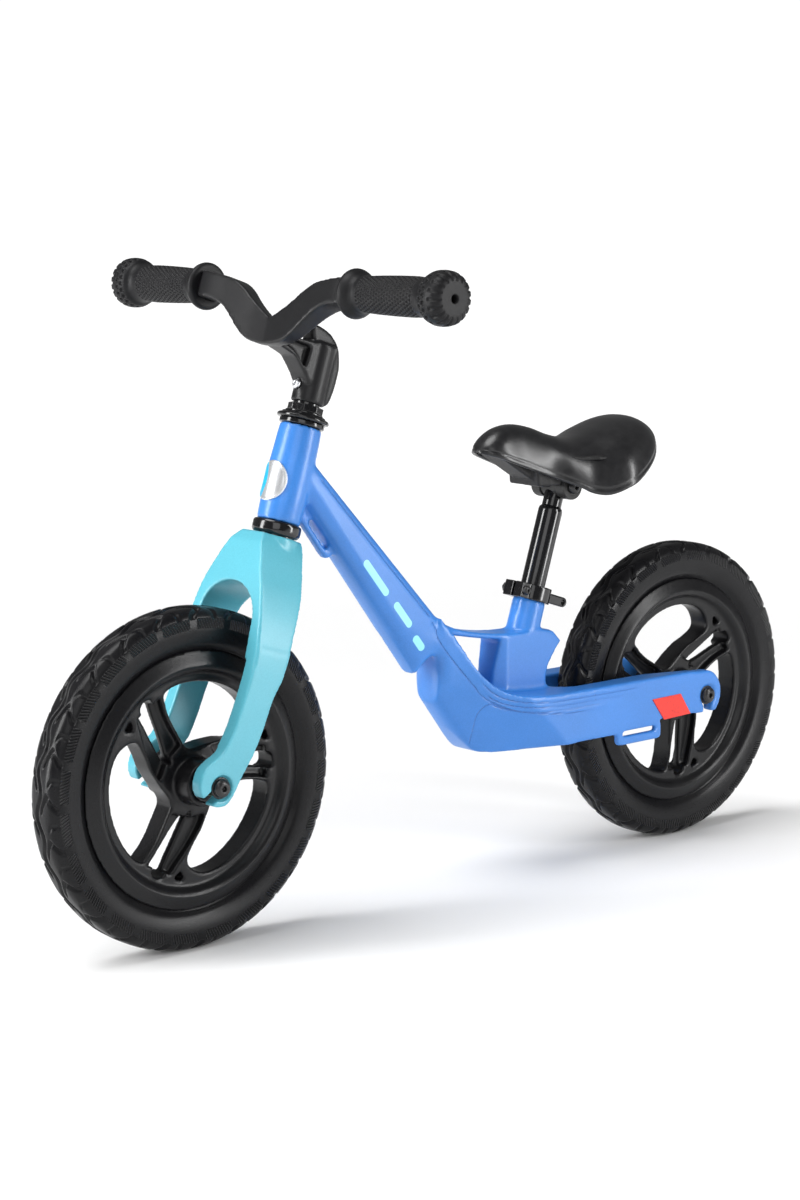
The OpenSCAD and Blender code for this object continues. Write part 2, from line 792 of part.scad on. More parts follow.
// Space above and ahead of the bend, where the rounded tube takes over.
module tube_zone() {
    translate([24, -60, 150])
        cube([200, 120, 300]);
}
module down_tube() {
    intersection() {
        body_core();
        tube_prism(tube_top_start, tube_top_angle);
    }
}
mast_outline = [[-42, 150], [-46.5, 190], [-53, 219], [-103, 221], [-116, 218],
    [-126, 208], [-119, 200], [-110, 187], [-107, 174], [-112, 160], [-112, 140],
    [-60, 130]];
mast_nose = 10;
bridge_upper = [[22, 242], [10, 236.5], [-3, 231.5], [-27, 226], [-55, 222],
    [-85, 220.5], [-112, 220]];
bridge_lower = [[-112, 220 - bridge_thickness], [-85, 220.5 - bridge_thickness],
    [-55, 222 - bridge_thickness], [-27, 226 - bridge_thickness],
    [-3, 230.5 - bridge_thickness], [8, 228]];
module mast() {
    intersection() {
        side_plate(mast_width)
            polygon(mast_outline);
        linear_extrude(400)
            polygon([[-40, mast_nose], [-46, mast_nose], [-58, mast_width / 2],
                [-140, mast_width / 2], [-140, -mast_width / 2],
                [-58, -mast_width / 2], [-46, -mast_nose], [-40, -mast_nose]]);
    }
    side_plate(bridge_width)
        polygon(concat(open_curve(bridge_upper, 4), open_curve(bridge_lower, 4)));
}
module strap_tabs() {
    for (side = [-1, 1])
        translate([tab_x, side * (stay_outer_half - 3), stay_bottom - 1])
            side_plate(6)
                rotate(tab_slope)
                    rounded_bar(tab_length, 2 * strap_slot_width + 9, 5);
}
module rounded_bar(length, height, corner) {
    for (x = [-1, 1])
        for (y = [-1, 1])
            translate([x * (length / 2 - corner), y * (height / 2 - corner)])
                circle(r = corner, $fn = 24);
    square([length, height - 2 * corner], center = true);
    square([length - 2 * corner, height], center = true);
}
// Narrow loop for a strap, under the upper end of the down tube.
loop_rod = 5;
loop_length = 52;
loop_slot_length = 31;
loop_thickness = 9;
module at_loop() {
    translate([tube_under_start[0], 0, tube_under_start[1]])
        rotate([0, -tube_under_angle, 0])
            translate([-20 - loop_length / 2, 0, -strap_slot_width / 2])
                children();
}
module strap_loop() {
    at_loop()
        side_plate(loop_thickness)
            rounded_bar(loop_length, strap_slot_width + 2 * loop_rod, 5);
}
module loop_slot() {
    at_loop()
        translate([-2, 0, 0])
            side_plate(loop_thickness + 20)
                rounded_bar(loop_slot_length, strap_slot_width, 2.1);
}
head_profile = [[head_tube_top_diameter / 2, head_tube_top],
    [head_tube_top_diameter / 2 + 0.6, head_tube_top - 10],
    [head_tube_diameter / 2, head_tube_top - 34],
    [head_tube_diameter / 2, head_tube_bottom + 18],
    [head_tube_diameter / 2 - 0.8, head_tube_bottom]];
module head_tube_blank() {
    rotate_extrude()
        polygon(concat([[0, head_tube_top]], head_profile, [[0, head_tube_bottom]]));
}
tube_neck = seat_tube_diameter / 2 - 1.6;
slit_width = 2.4;
slit_depth = 24;
module seat_tube_blank() {
    translate([0, 0, 150])
        cylinder(r = seat_tube_diameter / 2, h = seat_tube_top - 10 - 150);
    translate([0, 0, 150])
        cylinder(r = tube_neck, h = seat_tube_top - 150);
}
module rear_bay() {
    linear_extrude(stay_top + 2) {
        translate([-wheel_bay_front - stay_inner_half, 0])
            circle(r = stay_inner_half);
        polygon([[-wheel_bay_front - stay_inner_half, stay_inner_half],
            [-220, stay_inner_half], [-262, half_drop], [-400, half_drop],
            [-400, -half_drop], [-262, -half_drop], [-220, -stay_inner_half],
            [-wheel_bay_front - stay_inner_half, -stay_inner_half]]);
    }
}
module edge_reliefs() {
    for (side = [-1, 1])
        for (step = [0 : 2])
            translate([0, side * (stay_outer_half + 1.2), 0])
                side_plate(4)
                    relief_line(7 + 5 * step);
}
module relief_line(drop) {
    upper = open_curve([[-70, stay_top + 1 - drop], [-100, stay_top - drop],
        [-160, stay_top - drop], [-215, stay_top - drop * 0.8]], 4);
    polygon(concat(upper, reversed([for (q = upper) [q[0], q[1] - 1]])));
}
module frame() {
    difference() {
        union() {
            difference() {
                body_core();
                tube_zone();
            }
            down_tube();
            mast();
            strap_tabs();
            strap_loop();
            steer()
                head_tube_blank();
            seat()
                seat_tube_blank();
        }
        steer() {
            translate([0, 0, head_tube_bottom - 1])
                cylinder(r = insert_radius, h = cup_insert + 1);
            translate([0, 0, head_tube_top - cup_insert])
                cylinder(r = insert_radius, h = cup_insert + 1);
            translate([0, 0, head_tube_bottom])
                cylinder(r = insert_radius - 1.5, h = head_tube_length);
        }
        seat()
            translate([0, 0, post_floor])
                cylinder(r = post_diameter / 2 + running_gap, h = 200);
        seat()
            translate([0, -slit_width / 2, seat_tube_top - slit_depth])
                cube([40, slit_width, slit_depth + 1]);
        loop_slot();
        rear_bay();
        edge_reliefs();
        for (side = [-1, 1])
            translate([tab_x, side * stay_outer_half, stay_bottom + 0.5])
                side_plate(16)
                    rotate(tab_slope)
                        rounded_bar(strap_slot_length, strap_slot_width, 2.2);
        at_rear() {
            cross_pin(axle_slot / 2, 2 * drop_outer + 2);
            translate([0, 0, -20])
                cube([axle_slot, 2 * drop_outer + 2, 40], center = true);
            for (side = [-1, 1])
                translate([0, side * drop_outer, 0])
                    cross_pin(recess_radius, 2 * recess_depth);
        }
    }
}
badge_height = 253;
badge_radius = 17;
badge_thickness = 1.2;
module badge_shape() {
    steer()
        intersection() {
            tube(head_tube_diameter / 2 + badge_thickness, head_tube_diameter / 2,
                badge_height - 25, badge_height + 25);
            translate([0, 0, badge_height])
                rotate([0, 90, 0])
                    cylinder(r = badge_radius, h = 40);
        }
}
module reflectors() {
    for (side = [-1, 1])
        translate([-237, side * (stay_outer_half + 0.4), stay_bottom + 17.5])
            side_plate(0.8)
                polygon([[-26, -9.5], [10, -10.5], [26, 10.5], [-12, 11]]);
}

// ---- seat -------------------------------------------------------------------
post_floor = 132;
post_radius = post_diameter / 2;
collar_low = seat_tube_top - 10;
collar_radius = collar_diameter / 2;
clamp_axis = saddle_clamp_height;
drum_radius = 11;
drum_half = 10;
clamp_bolt_radius = 4;
cheek_half = rail_spacing / 2 + 6;
rail_rise = 9;
post_low = clamp_axis - post_length;

module collar() {
    seat()
        difference() {
            union() {
                translate([0, 0, collar_low])
                    cylinder(r = collar_radius, h = collar_height);
                // Boss at the front with the pinch bolt
                translate([collar_radius - 5, -boss_half, collar_low])
                    cube([10, 2 * boss_half, collar_height]);
                // Ear at the back with its eyelet
                translate([-collar_radius, 0, collar_low + collar_height / 2])
                    eyelet_ear();
            }
            translate([0, 0, collar_low - 1])
                cylinder(r = tube_neck, h = seat_tube_top - collar_low + 1);
            translate([0, 0, collar_low - 1])
                cylinder(r = post_radius + 0.6, h = collar_height + 2);
            translate([0, -slit_width / 2, collar_low - 1])
                cube([40, slit_width, collar_height + 2]);
            translate([collar_radius + 0.6, 0, collar_low + collar_height / 2])
                cross_pin(pinch_radius + fit_gap, 40);
        }
}
ear_length = 26.5;
ear_height = 9;
ear_thickness = 7;
eyelet_radius = 2.3;
pinch_radius = 2.5;
boss_half = 12;
module eyelet_ear() {
    difference() {
        union() {
            translate([-ear_length + ear_height / 2, -ear_thickness / 2, -ear_height / 2])
                cube([ear_length, ear_thickness, ear_height]);
            translate([-ear_length + ear_height / 2, 0, 0])
                cross_pin(ear_height / 2, ear_thickness);
        }
        translate([-ear_length + ear_height / 2, 0, 0])
            cross_pin(eyelet_radius, ear_thickness + 2);
    }
}
module pinch_bolt() {
    seat()
        translate([collar_radius + 0.6, boss_half, collar_low + collar_height / 2])
            rotate([-90, 0, 0])
                socket_bolt(8.5, 3.5, 2 * pinch_radius, 2 * boss_half + 2.5);
}
module pinch_nut() {
    seat()
        translate([collar_radius + 0.6, -boss_half, collar_low + collar_height / 2])
            rotate([90, 0, 0])
                difference() {
                    cylinder(r = 4.6, h = 3, $fn = 6);
                    translate([0, 0, -1])
                        cylinder(r = pinch_radius, h = 5);
                }
}
module post() {
    seat()
        difference() {
            union() {
                translate([0, 0, post_low])
                    cylinder(r = post_radius, h = post_length - 22);
                translate([0, 0, clamp_axis - 22])
                    cylinder(r1 = post_radius, r2 = post_radius - 2.2, h = 5);
                translate([0, 0, clamp_axis - 17])
                    cylinder(r = post_radius - 2.2, h = 17);
            }
            translate([0, 0, post_low - 1])
                cylinder(r = post_radius - post_wall, h = post_length - 26);
            translate([0, 0, clamp_axis])
                cross_pin(drum_radius, 40);
        }
}
module saddle_drum() {
    seat()
        translate([0, 0, clamp_axis])
            cross_ring(drum_radius, clamp_bolt_radius + running_gap, 0, 2 * drum_half);
}
module clamp_cheeks() {
    inner = drum_half + moving_gap;
    width = cheek_half - inner;
    middle = (inner + cheek_half) / 2;
    clamp_frame()
        difference() {
            for (side = [-1, 1]) {
                translate([0, side * middle, 0])
                    cross_pin(drum_radius + 1, width);
                translate([-drum_radius, side * middle - width / 2, 0])
                    cube([2 * drum_radius, width, rail_rise + 4]);
            }
            cross_pin(clamp_bolt_radius, 60);
            for (side = [-1, 1])
                translate([0, side * rail_spacing / 2, rail_rise])
                    rotate([0, 90, 0])
                        cylinder(r = rail_diameter / 2, h = 60, center = true);
        }
}
module clamp_bolt() {
    clamp_frame()
        translate([0, cheek_half, 0])
            rotate([-90, 0, 0])
                socket_bolt(13, 5, 2 * clamp_bolt_radius, 2 * cheek_half + 6);
}
module clamp_nut() {
    clamp_frame()
        translate([0, -cheek_half, 0])
            rotate([90, 0, 0])
                difference() {
                    cylinder(r = 7.4, h = 6, $fn = 6);
                    translate([0, 0, -1])
                        cylinder(r = clamp_bolt_radius, h = 8);
                }
}

// ---- saddle -----------------------------------------------------------------
clamp_x = -seat_axis_offset - clamp_axis * sin(seat_tilt);
clamp_z = clamp_axis * cos(seat_tilt);
nose_x = clamp_x + 99;
tail_x = nose_x - saddle_length;
half_saddle = saddle_width / 2;

// Heights are measured from the clamp bolt.
saddle_top = [[0, 38], [-8, 48], [-22, 56], [-40, 58.5], [-60, 55], [-80, 48],
    [-99, 44], [-118, 45], [-140, 51], [-162, 57.5], [-180, 59], [-194, 54],
    [-201, 48], [-saddle_length, 41]];
saddle_seam = [[-saddle_length, 39], [-201, 38], [-194, 34], [-184, 26], [-171, 17.5],
    [-158, 10], [-146, 4], [-136, 0], [-126, -4], [-116, -6], [-105, -4], [-95, 1],
    [-80, 7], [-70, 11], [-40, 22], [-15, 31], [0, 36]];
saddle_plan = [[0, 4], [-6, 13], [-18, 19], [-40, 22], [-68, 27], [-87, 35.5], [-98, 40],
    [-108, half_saddle - 14], [-120, half_saddle - 7], [-132, half_saddle - 2],
    [-143, half_saddle], [-158, half_saddle - 3], [-172, half_saddle - 8],
    [-184, half_saddle - 15], [-194, half_saddle - 25], [-201, half_saddle - 37],
    [-saddle_length, 5]];
// Shape of the pad seen from the front, as offset and height.
saddle_front = [[0, 61], [14, 60], [26, 56.5], [half_saddle - 20, 48.5],
    [half_saddle - 10, 36], [half_saddle - 4, 20], [half_saddle, 4], [half_saddle, -12]];

// Level frame with its origin on the saddle clamp bolt.
module clamp_frame() {
    translate([clamp_x, 0, clamp_z])
        children();
}
module saddle_frame() {
    translate([nose_x, 0, clamp_z])
        children();
}
module plan_shape(inset) {
    half = open_curve([for (q = saddle_plan) [q[0], max(q[1] - inset, 2)]], 4);
    polygon(concat(half, reversed([for (q = half) [q[0], -q[1]]])));
}
module saddle_pad_shape() {
    saddle_frame()
        difference() {
            intersection() {
                side_plate(saddle_width + 2)
                    polygon(concat(open_curve(saddle_top, 4),
                        open_curve(saddle_seam, 4)));
                translate([0, 0, -40])
                    linear_extrude(140)
                        plan_shape(0);
                front_plate(600)
                    polygon(concat(open_curve(saddle_front, 4),
                        reversed(mirrored(open_curve(saddle_front, 4)))));
            }
            pad_hollow();
        }
}
under_line = [[-178, 33], [-168, 32.6], [-156, 32], [-130, 29], [-100, 28],
    [-60, 32], [-30, 36], [-8, 40]];
module pad_hollow() {
    intersection() {
        side_plate(saddle_width)
            polygon(concat([[-178, -30]], under_line, [[-8, -30]]));
        translate([0, 0, -40])
            linear_extrude(140)
                plan_shape(6);
        under_front();
    }
}
// Front view of the underside shell, well inside the pad.
module under_front() {
    half = [for (q = open_curve(saddle_front, 3)) [max(q[0] - 7, 0), q[1] - 9]];
    front_plate(600)
        polygon(concat(half, [[half_saddle - 7, -40], [7 - half_saddle, -40]],
            reversed(mirrored(half))));
}
base_thickness = 4;
module saddle_base_shape() {
    saddle_frame()
        difference() {
            intersection() {
                union() {
                    side_plate(saddle_width)
                        polygon(concat(under_line, reversed(
                            [for (q = under_line) [q[0], q[1] - base_thickness]])));
                    side_plate(26)
                        polygon(keel_outline);
                    side_plate(rail_spacing + 14) {
                        polygon(front_block);
                        polygon(tail_block);
                    }
                }
                translate([0, 0, -40])
                    linear_extrude(140)
                        plan_shape(6);
                under_front();
            }
            rails();
        }
}
keel_outline = [[-8, 37], [-30, 24], [-50, 12], [-70, 1], [-80, 0], [-80, 29],
    [-60, 31], [-30, 35]];
front_block = [[-58, 3], [-83, 3], [-86, 29], [-54, 31]];
tail_block = [[-126, 3], [-148, 3], [-158, 31], [-122, 27]];
rail_front = 62;
rail_back = 144;
module rails() {
    for (side = [-1, 1])
        translate([-(rail_front + rail_back) / 2, side * rail_spacing / 2, rail_rise])
            rotate([0, 90, 0])
                cylinder(r = rail_diameter / 2, h = rail_back - rail_front,
                    center = true);
}

// ---- sub-parts --------------------------------------------------------------
module frame_casting() {
    color(frame_blue)
        frame();
}
module head_badge() {
    color(steel)
        badge_shape();
}
module reflective_decals() {
    color(red)
        reflectors();
}
module lower_cup() {
    color(black)
        steer()
            lower_cup_shape();
}
module upper_cup() {
    color(black)
        steer()
            upper_cup_shape();
}
module headset_balls() {
    color(steel)
        steer() {
            ball_cage(lower_ball_height);
            ball_cage(upper_ball_height);
        }
}
module crown_race() {
    color(steel)
        steer()
            crown_race_shape();
}
module upper_cone() {
    color(black)
        steer()
            upper_cone_shape();
}
module lock_washer() {
    color(black)
        steer()
            lock_washer_shape();
}
module lock_nut() {
    color(black)
        steer()
            lock_nut_shape();
}
module fork_casting() {
    color(fork_blue)
        steer()
            fork();
}
module steerer_tube() {
    color(steel)
        steer()
            steerer();
}
module handlebar() {
    color(black)
        steer()
            handlebar_shape();
}
module stem_bolt() {
    color(steel)
        steer()
            stem_bolt_shape();
}
module left_grip() {
    color(dark_grey)
        steer()
            grip(1);
}
module right_grip() {
    color(dark_grey)
        steer()
            grip(-1);
}
module front_axle() {
    color(steel)
        at_front()
            axle();
}
module front_axle_spacers() {
    color(zinc)
        at_front()
            axle_spacers();
}
module front_axle_washers() {
    color(black)
        at_front()
            axle_washers();
}
module front_axle_bolts() {
    color(black)
        at_front()
            axle_bolts();
}
module rear_axle() {
    color(steel)
        at_rear()
            axle();
}
module rear_axle_spacers() {
    color(zinc)
        at_rear()
            axle_spacers();
}
module rear_axle_washers() {
    color(black)
        at_rear()
            axle_washers();
}
module rear_axle_bolts() {
    color(black)
        at_rear()
            axle_bolts();
}
module front_rim() {
    color(black)
        at_front()
            rim(front_spoke_angle);
}
module front_tyre() {
    color(dark_grey)
        at_front()
            tyre();
}
module front_bearings() {
    color(steel)
        at_front()
            hub_bearings();
}
module front_dust_caps() {
    color(zinc)
        at_front()
            dust_caps();
}
module rear_rim() {
    color(black)
        at_rear()
            rim(rear_spoke_angle);
}
module rear_tyre() {
    color(dark_grey)
        at_rear()
            tyre();
}
module rear_bearings() {
    color(steel)
        at_rear()
            hub_bearings();
}
module rear_dust_caps() {
    color(zinc)
        at_rear()
            dust_caps();
}
module seat_clamp() {
    color(black)
        collar();
}
module seat_clamp_bolt() {
    color(steel)
        pinch_bolt();
}
module seat_clamp_nut() {
    color(steel)
        pinch_nut();
}
module seat_post() {
    color(black)
        post();
}
module saddle_clamp_core() {
    color(steel)
        saddle_drum();
}
module saddle_clamp_cheeks() {
    color(steel)
        clamp_cheeks();
}
module saddle_clamp_bolt() {
    color(steel)
        clamp_bolt();
}
module saddle_clamp_nut() {
    color(steel)
        clamp_nut();
}
module saddle_rails() {
    color(steel)
        saddle_frame()
            rails();
}
module saddle_base() {
    color(black)
        saddle_base_shape();
}
module saddle_pad() {
    color(black)
        saddle_pad_shape();
}

frame_casting();
head_badge();
reflective_decals();
lower_cup();
upper_cup();
headset_balls();
crown_race();
upper_cone();
lock_washer();
lock_nut();
fork_casting();
steerer_tube();
handlebar();
stem_bolt();
left_grip();
right_grip();
front_axle();
front_axle_spacers();
front_axle_washers();
front_axle_bolts();
rear_axle();
rear_axle_spacers();
rear_axle_washers();
rear_axle_bolts();
front_rim();
front_tyre();
front_bearings();
front_dust_caps();
rear_rim();
rear_tyre();
rear_bearings();
rear_dust_caps();
seat_clamp();
seat_clamp_bolt();
seat_clamp_nut();
seat_post();
saddle_clamp_core();
saddle_clamp_cheeks();
saddle_clamp_bolt();
saddle_clamp_nut();
saddle_rails();
saddle_base();
saddle_pad();
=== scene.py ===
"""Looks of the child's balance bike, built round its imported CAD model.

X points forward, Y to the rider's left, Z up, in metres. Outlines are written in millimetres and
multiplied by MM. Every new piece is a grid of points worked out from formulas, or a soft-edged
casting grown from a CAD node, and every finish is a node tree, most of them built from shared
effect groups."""
import math

import bmesh
import bpy
import numpy as np
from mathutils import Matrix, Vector


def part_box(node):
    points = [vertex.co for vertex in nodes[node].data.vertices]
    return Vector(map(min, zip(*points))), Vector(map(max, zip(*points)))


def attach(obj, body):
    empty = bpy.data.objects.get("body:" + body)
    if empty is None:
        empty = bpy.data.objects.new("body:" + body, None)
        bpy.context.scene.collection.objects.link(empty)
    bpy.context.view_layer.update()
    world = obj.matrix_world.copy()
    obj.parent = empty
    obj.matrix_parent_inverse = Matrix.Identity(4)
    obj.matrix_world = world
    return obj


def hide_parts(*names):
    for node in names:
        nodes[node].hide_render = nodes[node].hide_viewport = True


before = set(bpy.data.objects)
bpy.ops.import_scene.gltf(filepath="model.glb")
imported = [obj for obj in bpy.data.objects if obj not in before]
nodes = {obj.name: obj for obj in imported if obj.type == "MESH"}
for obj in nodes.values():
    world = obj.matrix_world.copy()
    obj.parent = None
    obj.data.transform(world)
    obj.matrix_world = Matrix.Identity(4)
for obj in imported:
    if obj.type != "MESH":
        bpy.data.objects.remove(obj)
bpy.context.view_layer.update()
MM = 0.001


# ---- places taken from the CAD nodes -----------------------------------------
def middle_of(name):
    """Centre of a CAD node's box, as three numbers in metres."""
    low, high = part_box(name)
    return (np.array(low) + np.array(high)) / 2


front_hub = middle_of("front_tyre")
rear_hub = middle_of("rear_tyre")
head_lean = math.radians(18)
steer_up = np.array([-math.sin(head_lean), 0, math.cos(head_lean)])
steer_ahead = np.array([math.cos(head_lean), 0, math.sin(head_lean)])
fork_rake = 32 * MM
steer_origin = front_hub - fork_rake * steer_ahead
bar_centre = steer_origin + 56 * MM * steer_ahead + 403.5 * MM * steer_up
saddle_clamp = middle_of("saddle_clamp_core")
saddle_nose = saddle_clamp + np.array([99 * MM, 0, 0])


# ---- curves and grids --------------------------------------------------------
def smooth_curve(points, steps, closed=False):
    """Curve through points. Between b and c, with neighbours a and d, it is half of
    2 b + (c - a) t + (2 a - 5 b + 4 c - d) t^2 + (3 b - a - 3 c + d) t^3, for t from 0 to 1."""
    p = np.asarray(points, float)
    count = len(p)
    start = np.arange(count if closed else count - 1)

    def pick(i):
        return p[i % count] if closed else p[np.clip(i, 0, count - 1)]

    a, b, c, d = (pick(start + k)[:, None] for k in (-1, 0, 1, 2))
    t = (np.arange(steps) / steps)[None, :, None]
    curve = 0.5 * (2 * b + (c - a) * t + (2 * a - 5 * b + 4 * c - d) * t**2
                   + (3 * b - a - 3 * c + d) * t**3)
    curve = curve.reshape(-1, p.shape[1])
    return curve if closed else np.vstack([curve, p[-1:]])


def ramp(low, high, value):
    """Smooth step: 0 below low, 1 above high, and 3 t^2 - 2 t^3 between them."""
    t = np.clip((value - low) / (high - low), 0, 1)
    return t * t * (3 - 2 * t)


def even_steps(profile, spacing):
    """The same open line of points, resampled so that they lie about spacing apart."""
    step = np.linalg.norm(np.diff(profile, axis=0), axis=1)
    along = np.concatenate([[0], np.cumsum(step)])
    count = max(2, int(round(along[-1] / spacing)) + 1)
    at = np.linspace(0, along[-1], count)
    return np.stack([np.interp(at, along, profile[:, k]) for k in range(profile.shape[1])], 1)


def grid_piece(name, points, wrap_rows=False, wrap_columns=False, weld=0.0, uv_size=(1.0, 1.0)):
    """Object made of the quads between neighbouring points of a rows by columns grid. Its UV
    map holds row and column as shares of the grid, times uv_size."""
    rows, columns = points.shape[:2]
    index = np.arange(rows * columns).reshape(rows, columns)
    if wrap_columns:
        index = np.concatenate([index, index[:, :1]], 1)
    if wrap_rows:
        index = np.concatenate([index, index[:1]], 0)
    quads = np.stack([index[:-1, :-1], index[:-1, 1:], index[1:, 1:], index[1:, :-1]], -1)
    quads = quads.reshape(-1, 4)
    mesh = bpy.data.meshes.new(name)
    mesh.from_pydata(points.reshape(-1, 3), [], quads.tolist())
    tall, wide = index.shape
    r, c = np.meshgrid(np.arange(tall - 1), np.arange(wide - 1), indexing="ij")
    steps = ((0, 0), (0, 1), (1, 1), (1, 0))
    corner = np.stack([np.stack([c + dc, r + dr], -1) for dr, dc in steps], 2)
    uv = corner.reshape(-1, 2) / np.array([wide - 1, tall - 1]) * np.array(uv_size)
    layer = mesh.uv_layers.new(name="around")
    layer.data.foreach_set("uv", uv.astype(np.float32).ravel())
    return finished(name, mesh, weld)


def finished(name, mesh, weld=0.0):
    """Welds close points, turns all faces outwards, shades smooth and returns the object."""
    made = bmesh.new()
    made.from_mesh(mesh)
    if weld:
        bmesh.ops.remove_doubles(made, verts=made.verts, dist=weld)
        bmesh.ops.dissolve_degenerate(made, edges=made.edges, dist=weld)
    bmesh.ops.recalc_face_normals(made, faces=made.faces)
    made.to_mesh(mesh)
    made.free()
    mesh.shade_smooth()
    piece = bpy.data.objects.new(name, mesh)
    bpy.context.scene.collection.objects.link(piece)
    return piece


def of_vertices(mesh, what="co"):
    """Places, or normals, of a mesh's vertices, one row each."""
    values = np.empty(len(mesh.vertices) * 3)
    mesh.vertices.foreach_get(what, values)
    return values.reshape(-1, 3)


def relax(points, edges, rounds, hold=None, keep_size=True):
    """Each round moves every point half way to the mean of its neighbours, and, to keep the
    size, slightly more than half way back. hold, from 0 to 1, says how much a point stays."""
    a, b = edges.T
    near = np.maximum(np.bincount(edges.ravel(), minlength=len(points)), 1)[:, None]
    free = 1.0 if hold is None else (1 - hold)[:, None]
    for _ in range(rounds):
        for share in (0.5, -0.53) if keep_size else (0.5,):
            total = np.stack([np.bincount(a, points[b, k], len(points))
                              + np.bincount(b, points[a, k], len(points)) for k in range(3)], 1)
            points = points + share * free * (total / near - points)
    return points


def soft_casting(name, node, cell, even=6, round_off=3, hold=None, melt=None):
    """Casting grown from a CAD node: its solid is filled with cells, its skin is made even,
    and its edges are rounded off. hold and melt are functions of the points, in millimetres:
    how much a point stays, and where the skin is blended further."""
    mesh = nodes[node].data.copy()
    made = bmesh.new()
    made.from_mesh(mesh)
    bmesh.ops.remove_doubles(made, verts=made.verts, dist=1e-6)
    made.to_mesh(mesh)
    made.free()
    blank = bpy.data.objects.new(name + "_blank", mesh)
    bpy.context.scene.collection.objects.link(blank)
    filled = blank.modifiers.new("fill", "REMESH")
    filled.mode = "VOXEL"
    filled.voxel_size = cell
    skin = bpy.data.meshes.new_from_object(
        blank.evaluated_get(bpy.context.evaluated_depsgraph_get()))
    bpy.data.objects.remove(blank)
    points = of_vertices(skin)
    edges = np.empty(len(skin.edges) * 2, np.int32)
    skin.edges.foreach_get("vertices", edges)
    edges = edges.reshape(-1, 2)
    points = relax(points, edges, even)
    still = None if hold is None else hold(points / MM)
    points = relax(points, edges, round_off, still, keep_size=False)
    if melt is not None:
        points = relax(points, edges, 170, 1 - melt(points / MM), keep_size=False)
    skin.vertices.foreach_set("co", points.ravel())
    skin.materials.clear()
    return finished(name, skin)


def distance_to_line(points, line):
    """Shortest distance from each flat point to an open line of points, and how far along
    the line, from 0 to 1, the nearest place lies."""
    best = np.full(len(points), 1e9)
    place = np.zeros(len(points))
    for k in range(len(line) - 1):
        a, b = line[k], line[k + 1]
        d = b - a
        t = np.clip(((points - a) @ d) / (d @ d), 0, 1)
        gap = np.linalg.norm(points - a - t[:, None] * d, axis=1)
        nearer = gap < best
        best = np.where(nearer, gap, best)
        place = np.where(nearer, (k + t) / (len(line) - 1), place)
    return best, place


def give_attribute(piece, name, values):
    layer = piece.data.attributes.new(name, "FLOAT", "POINT")
    layer.data.foreach_set("value", np.asarray(values, np.float32))


# ---- node trees --------------------------------------------------------------
def place(tree, kind, wires=None, **settings):
    """Adds a node, sets its settings, and gives each named input a value or a wire."""
    made = tree.nodes.new(kind)
    for key, value in settings.items():
        setattr(made, key, value)
    for key, value in (wires or {}).items():
        if isinstance(value, bpy.types.NodeSocket):
            tree.links.new(value, made.inputs[key])
        else:
            made.inputs[key].default_value = value
    return made


def sum_of(tree, kind, *values):
    """Math node of the given kind on one to three values or wires; returns its output."""
    return place(tree, "ShaderNodeMath", dict(enumerate(values)), operation=kind).outputs[0]


def spread(tree, value, low, high, to_low=0.0, to_high=1.0):
    """Smooth map of a value from one range to another."""
    ends = {"Value": value, "From Min": low, "From Max": high, "To Min": to_low, "To Max": to_high}
    made = place(tree, "ShaderNodeMapRange", ends, interpolation_type="SMOOTHSTEP")
    return made.outputs["Result"]


def blend_colour(tree, mask, first, second, kind="MIX"):
    """Mixes two colours or wires by a mask; returns the colour output."""
    made = tree.nodes.new("ShaderNodeMix")
    made.data_type = "RGBA"
    made.blend_type = kind
    for key, item in ((0, mask), (6, first), (7, second)):
        if isinstance(item, bpy.types.NodeSocket):
            tree.links.new(item, made.inputs[key])
        else:
            made.inputs[key].default_value = item if key == 0 else (*item, 1)
    return made.outputs[2]


def effect(name, inputs, outputs):
    """New effect group with named number inputs and outputs; returns tree, inputs, outputs."""
    tree = bpy.data.node_groups.new(name, "ShaderNodeTree")
    for label, kind, value in inputs:
        socket = tree.interface.new_socket(name=label, in_out="INPUT", socket_type=kind)
        if value is not None:
            socket.default_value = value
    for label, kind in outputs:
        tree.interface.new_socket(name=label, in_out="OUTPUT", socket_type=kind)
    return tree, tree.nodes.new("NodeGroupInput"), tree.nodes.new("NodeGroupOutput")


NUMBER, VECTOR = "NodeSocketFloat", "NodeSocketVector"


def build_grain():
    """Fine skin of a coated or moulded surface: noise of a given size as a bump and a mask."""
    tree, take, give = effect("grain", [("Size", NUMBER, 0.001), ("Depth", NUMBER, 0.2),
                                        ("Normal", VECTOR, None)],
                              [("Normal", VECTOR), ("Mask", NUMBER)])
    where = place(tree, "ShaderNodeTexCoord").outputs["Object"]
    scale = sum_of(tree, "DIVIDE", 1.0, take.outputs["Size"])
    noise = place(tree, "ShaderNodeTexNoise", {"Vector": where, "Scale": scale, "Detail": 3.0,
                                               "Roughness": 0.55})
    bump = place(tree, "ShaderNodeBump", {"Height": noise.outputs[0], "Distance": 0.0004,
                                          "Strength": take.outputs["Depth"],
                                          "Normal": take.outputs["Normal"]})
    tree.links.new(bump.outputs[0], give.inputs["Normal"])
    tree.links.new(noise.outputs[0], give.inputs["Mask"])
    return tree


def build_worn_edge():
    """Marks the convex edges of a casting, broken up by noise."""
    tree, take, give = effect("worn_edge", [("Wear", NUMBER, 0.5)], [("Mask", NUMBER)])
    point = place(tree, "ShaderNodeNewGeometry").outputs["Pointiness"]
    edge = spread(tree, point, 0.53, 0.60)
    where = place(tree, "ShaderNodeTexCoord").outputs["Object"]
    noise = place(tree, "ShaderNodeTexNoise", {"Vector": where, "Scale": 260.0, "Detail": 4.0})
    broken = spread(tree, noise.outputs[0], 0.50, 0.66)
    worn = sum_of(tree, "MULTIPLY", sum_of(tree, "MULTIPLY", edge, broken), take.outputs["Wear"])
    tree.links.new(worn, give.inputs["Mask"])
    return tree


